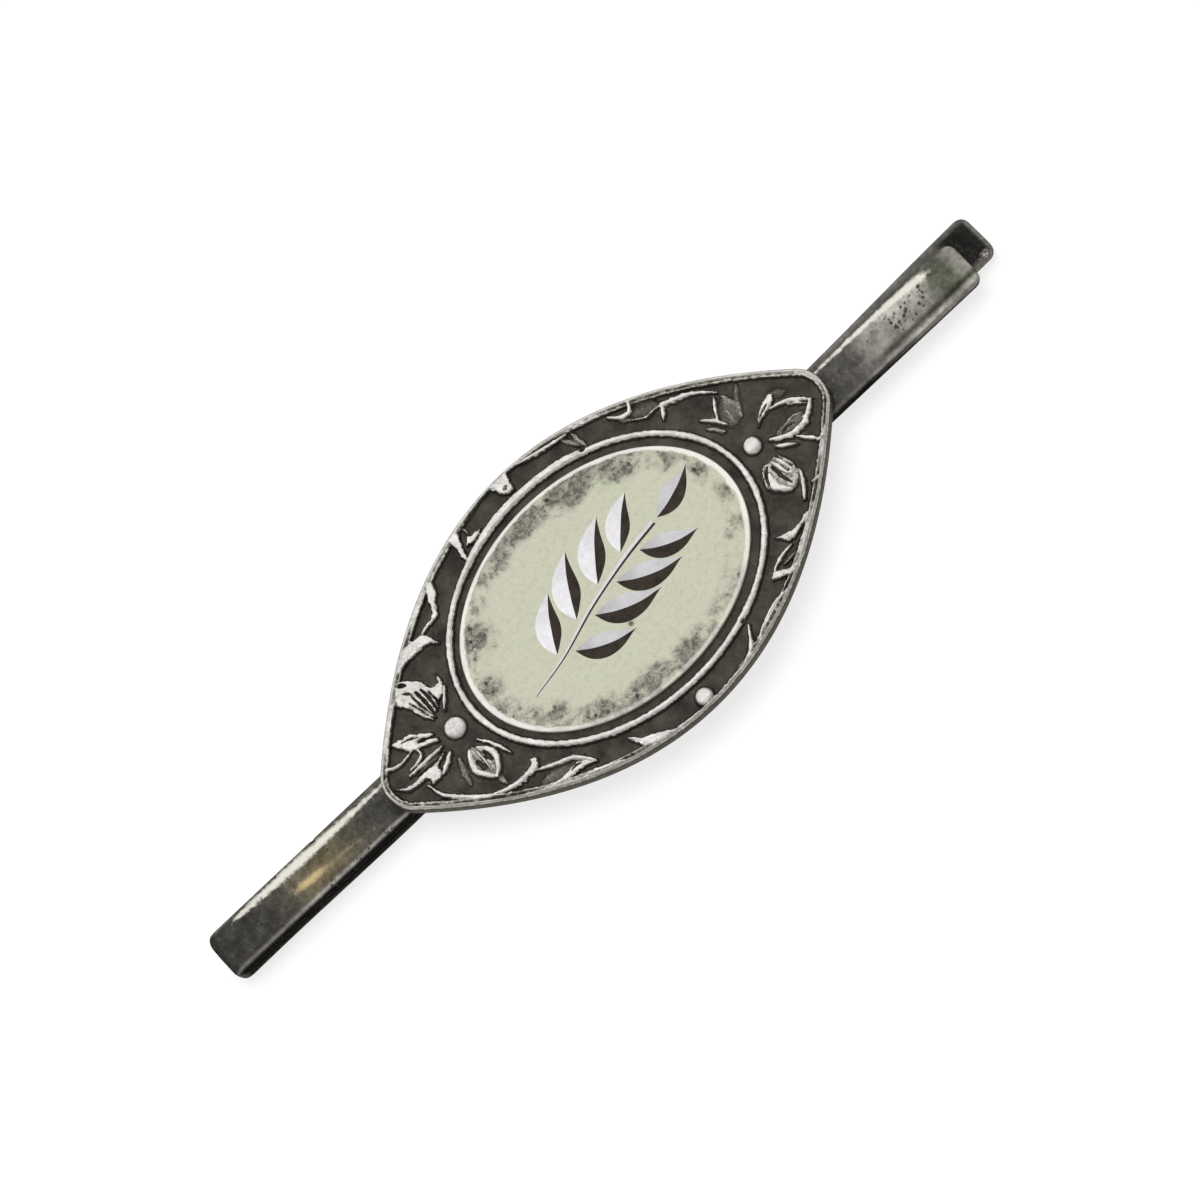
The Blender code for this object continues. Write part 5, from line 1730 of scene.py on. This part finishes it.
floor_mesh = bpy.data.meshes.new("floor")
floor_shape = bmesh.new()
bmesh.ops.create_grid(floor_shape, x_segments=FLOOR_SQUARES, y_segments=FLOOR_SQUARES, size=FLOOR_HALF)
floor_shape.to_mesh(floor_mesh)
floor_shape.free()
floor = bpy.data.objects.new("floor", floor_mesh)
bpy.context.scene.collection.objects.link(floor)
paper = bpy.data.materials.new("pale_floor")
paper.use_nodes = True
tree = paper.node_tree
tree.nodes.clear()
rays = add(tree, "ShaderNodeLightPath").outputs
shown = math_node(tree, "MAXIMUM", rays["Is Camera Ray"], rays["Is Glossy Ray"])
shown = math_node(tree, "MAXIMUM", shown, rays["Is Transmission Ray"])
card = add(tree, "ShaderNodeBsdfDiffuse", {"Color": (PAPER_GREY, PAPER_GREY, PAPER_GREY, 1)})
glow = {"Color": (1, 1, 1, 1), "Strength": times(tree, shown, PAPER_GLOW)}
glow = add(tree, "ShaderNodeEmission", glow)
sheet = add(tree, "ShaderNodeAddShader", {0: card.outputs[0], 1: glow.outputs[0]})
add(tree, "ShaderNodeOutputMaterial", {"Surface": sheet.outputs[0]})
floor_mesh.materials.append(paper)
print("floor:", 2 * FLOOR_HALF, "m wide")

# %% [markdown]
# Metal shows its surroundings, so the room lights the clip and not the lamp. The room is white above and
# behind the clip, and half as bright low down and in front. That lets the two sides of a leaf differ,
# and still leaves the sides and the back of the clip readable. The disk lamp adds the soft shadow. It is
# left out of reflections, where it would be a hard spot.

# %% Room and lamp
DIM_SIDE, BRIGHT_SIDE = 0.5, 1.0
TOWARDS_LIGHT = Vector((0.0, 0.5, 0.866))
LAMP_PLACE = Vector((0.0, 0.075, 0.45))
LAMP_SIZE, LAMP_WATTS = 0.28, 1.9

world = bpy.data.worlds.new("soft_room")
bpy.context.scene.world = world
world.use_nodes = True
tree = world.node_tree
tree.nodes.clear()
way = add(tree, "ShaderNodeTexCoord").outputs["Generated"]
facing = add(tree, "ShaderNodeVectorMath", {0: way, 1: TOWARDS_LIGHT}, operation="DOT_PRODUCT")
room_light = remap(tree, facing.outputs["Value"], 0.1, 0.72, DIM_SIDE, BRIGHT_SIDE)
sky = add(tree, "ShaderNodeBackground", {"Color": (1, 1, 1, 1), "Strength": room_light})
add(tree, "ShaderNodeOutputWorld", {"Surface": sky.outputs[0]})

lamp_data = bpy.data.lights.new("soft_lamp", "AREA")
lamp_data.shape = "DISK"
lamp_data.size = LAMP_SIZE
lamp_data.energy = LAMP_WATTS
lamp = bpy.data.objects.new("soft_lamp", lamp_data)
bpy.context.scene.collection.objects.link(lamp)
lamp.location = LAMP_PLACE
lamp.rotation_euler = (-LAMP_PLACE).to_track_quat("-Z", "Y").to_euler()
lamp.visible_glossy = False
print("lamp:", round(LAMP_PLACE.length, 3), "m from the clip")

# %% [markdown]
# ## The camera
#
# The photograph looks down on the clip, leaning 18 degrees from straight above, from so far away that
# lines stay parallel, and turned so that the clip points up to the right. An orthographic camera would
# fit too, but a long lens gives the same picture and works for other views as well. The camera's three
# axes are worked out first, and its distance follows from how wide the picture is at the clip.

# %% Camera
LEAN = math.radians(18)
CLIP_TURN = math.radians(43.8)
PICTURE_WIDTH = 59.11 * MM
LENS, SENSOR = 200, 36
AIM = Vector((-0.153, -0.112, 2.8)) * MM

towards_camera = Vector((0, -math.sin(LEAN), math.cos(LEAN)))
plain_up = Vector((0, math.cos(LEAN), math.sin(LEAN)))
picture_right = math.cos(CLIP_TURN) * Vector((1, 0, 0)) - math.sin(CLIP_TURN) * plain_up
picture_up = math.sin(CLIP_TURN) * Vector((1, 0, 0)) + math.cos(CLIP_TURN) * plain_up
camera_data = bpy.data.cameras.new("camera")
camera_data.lens = LENS
camera_data.sensor_width = SENSOR
camera_data.clip_start = 0.01
camera = bpy.data.objects.new("camera", camera_data)
bpy.context.scene.collection.objects.link(camera)
turned = Matrix((picture_right, picture_up, towards_camera)).transposed()
distance = PICTURE_WIDTH * LENS / SENSOR
camera.matrix_world = Matrix.Translation(AIM + towards_camera * distance) @ turned.to_4x4()
bpy.context.scene.camera = camera
bpy.context.scene.view_settings.view_transform = "Standard"
print("camera:", round(distance, 3), "m from the clip")
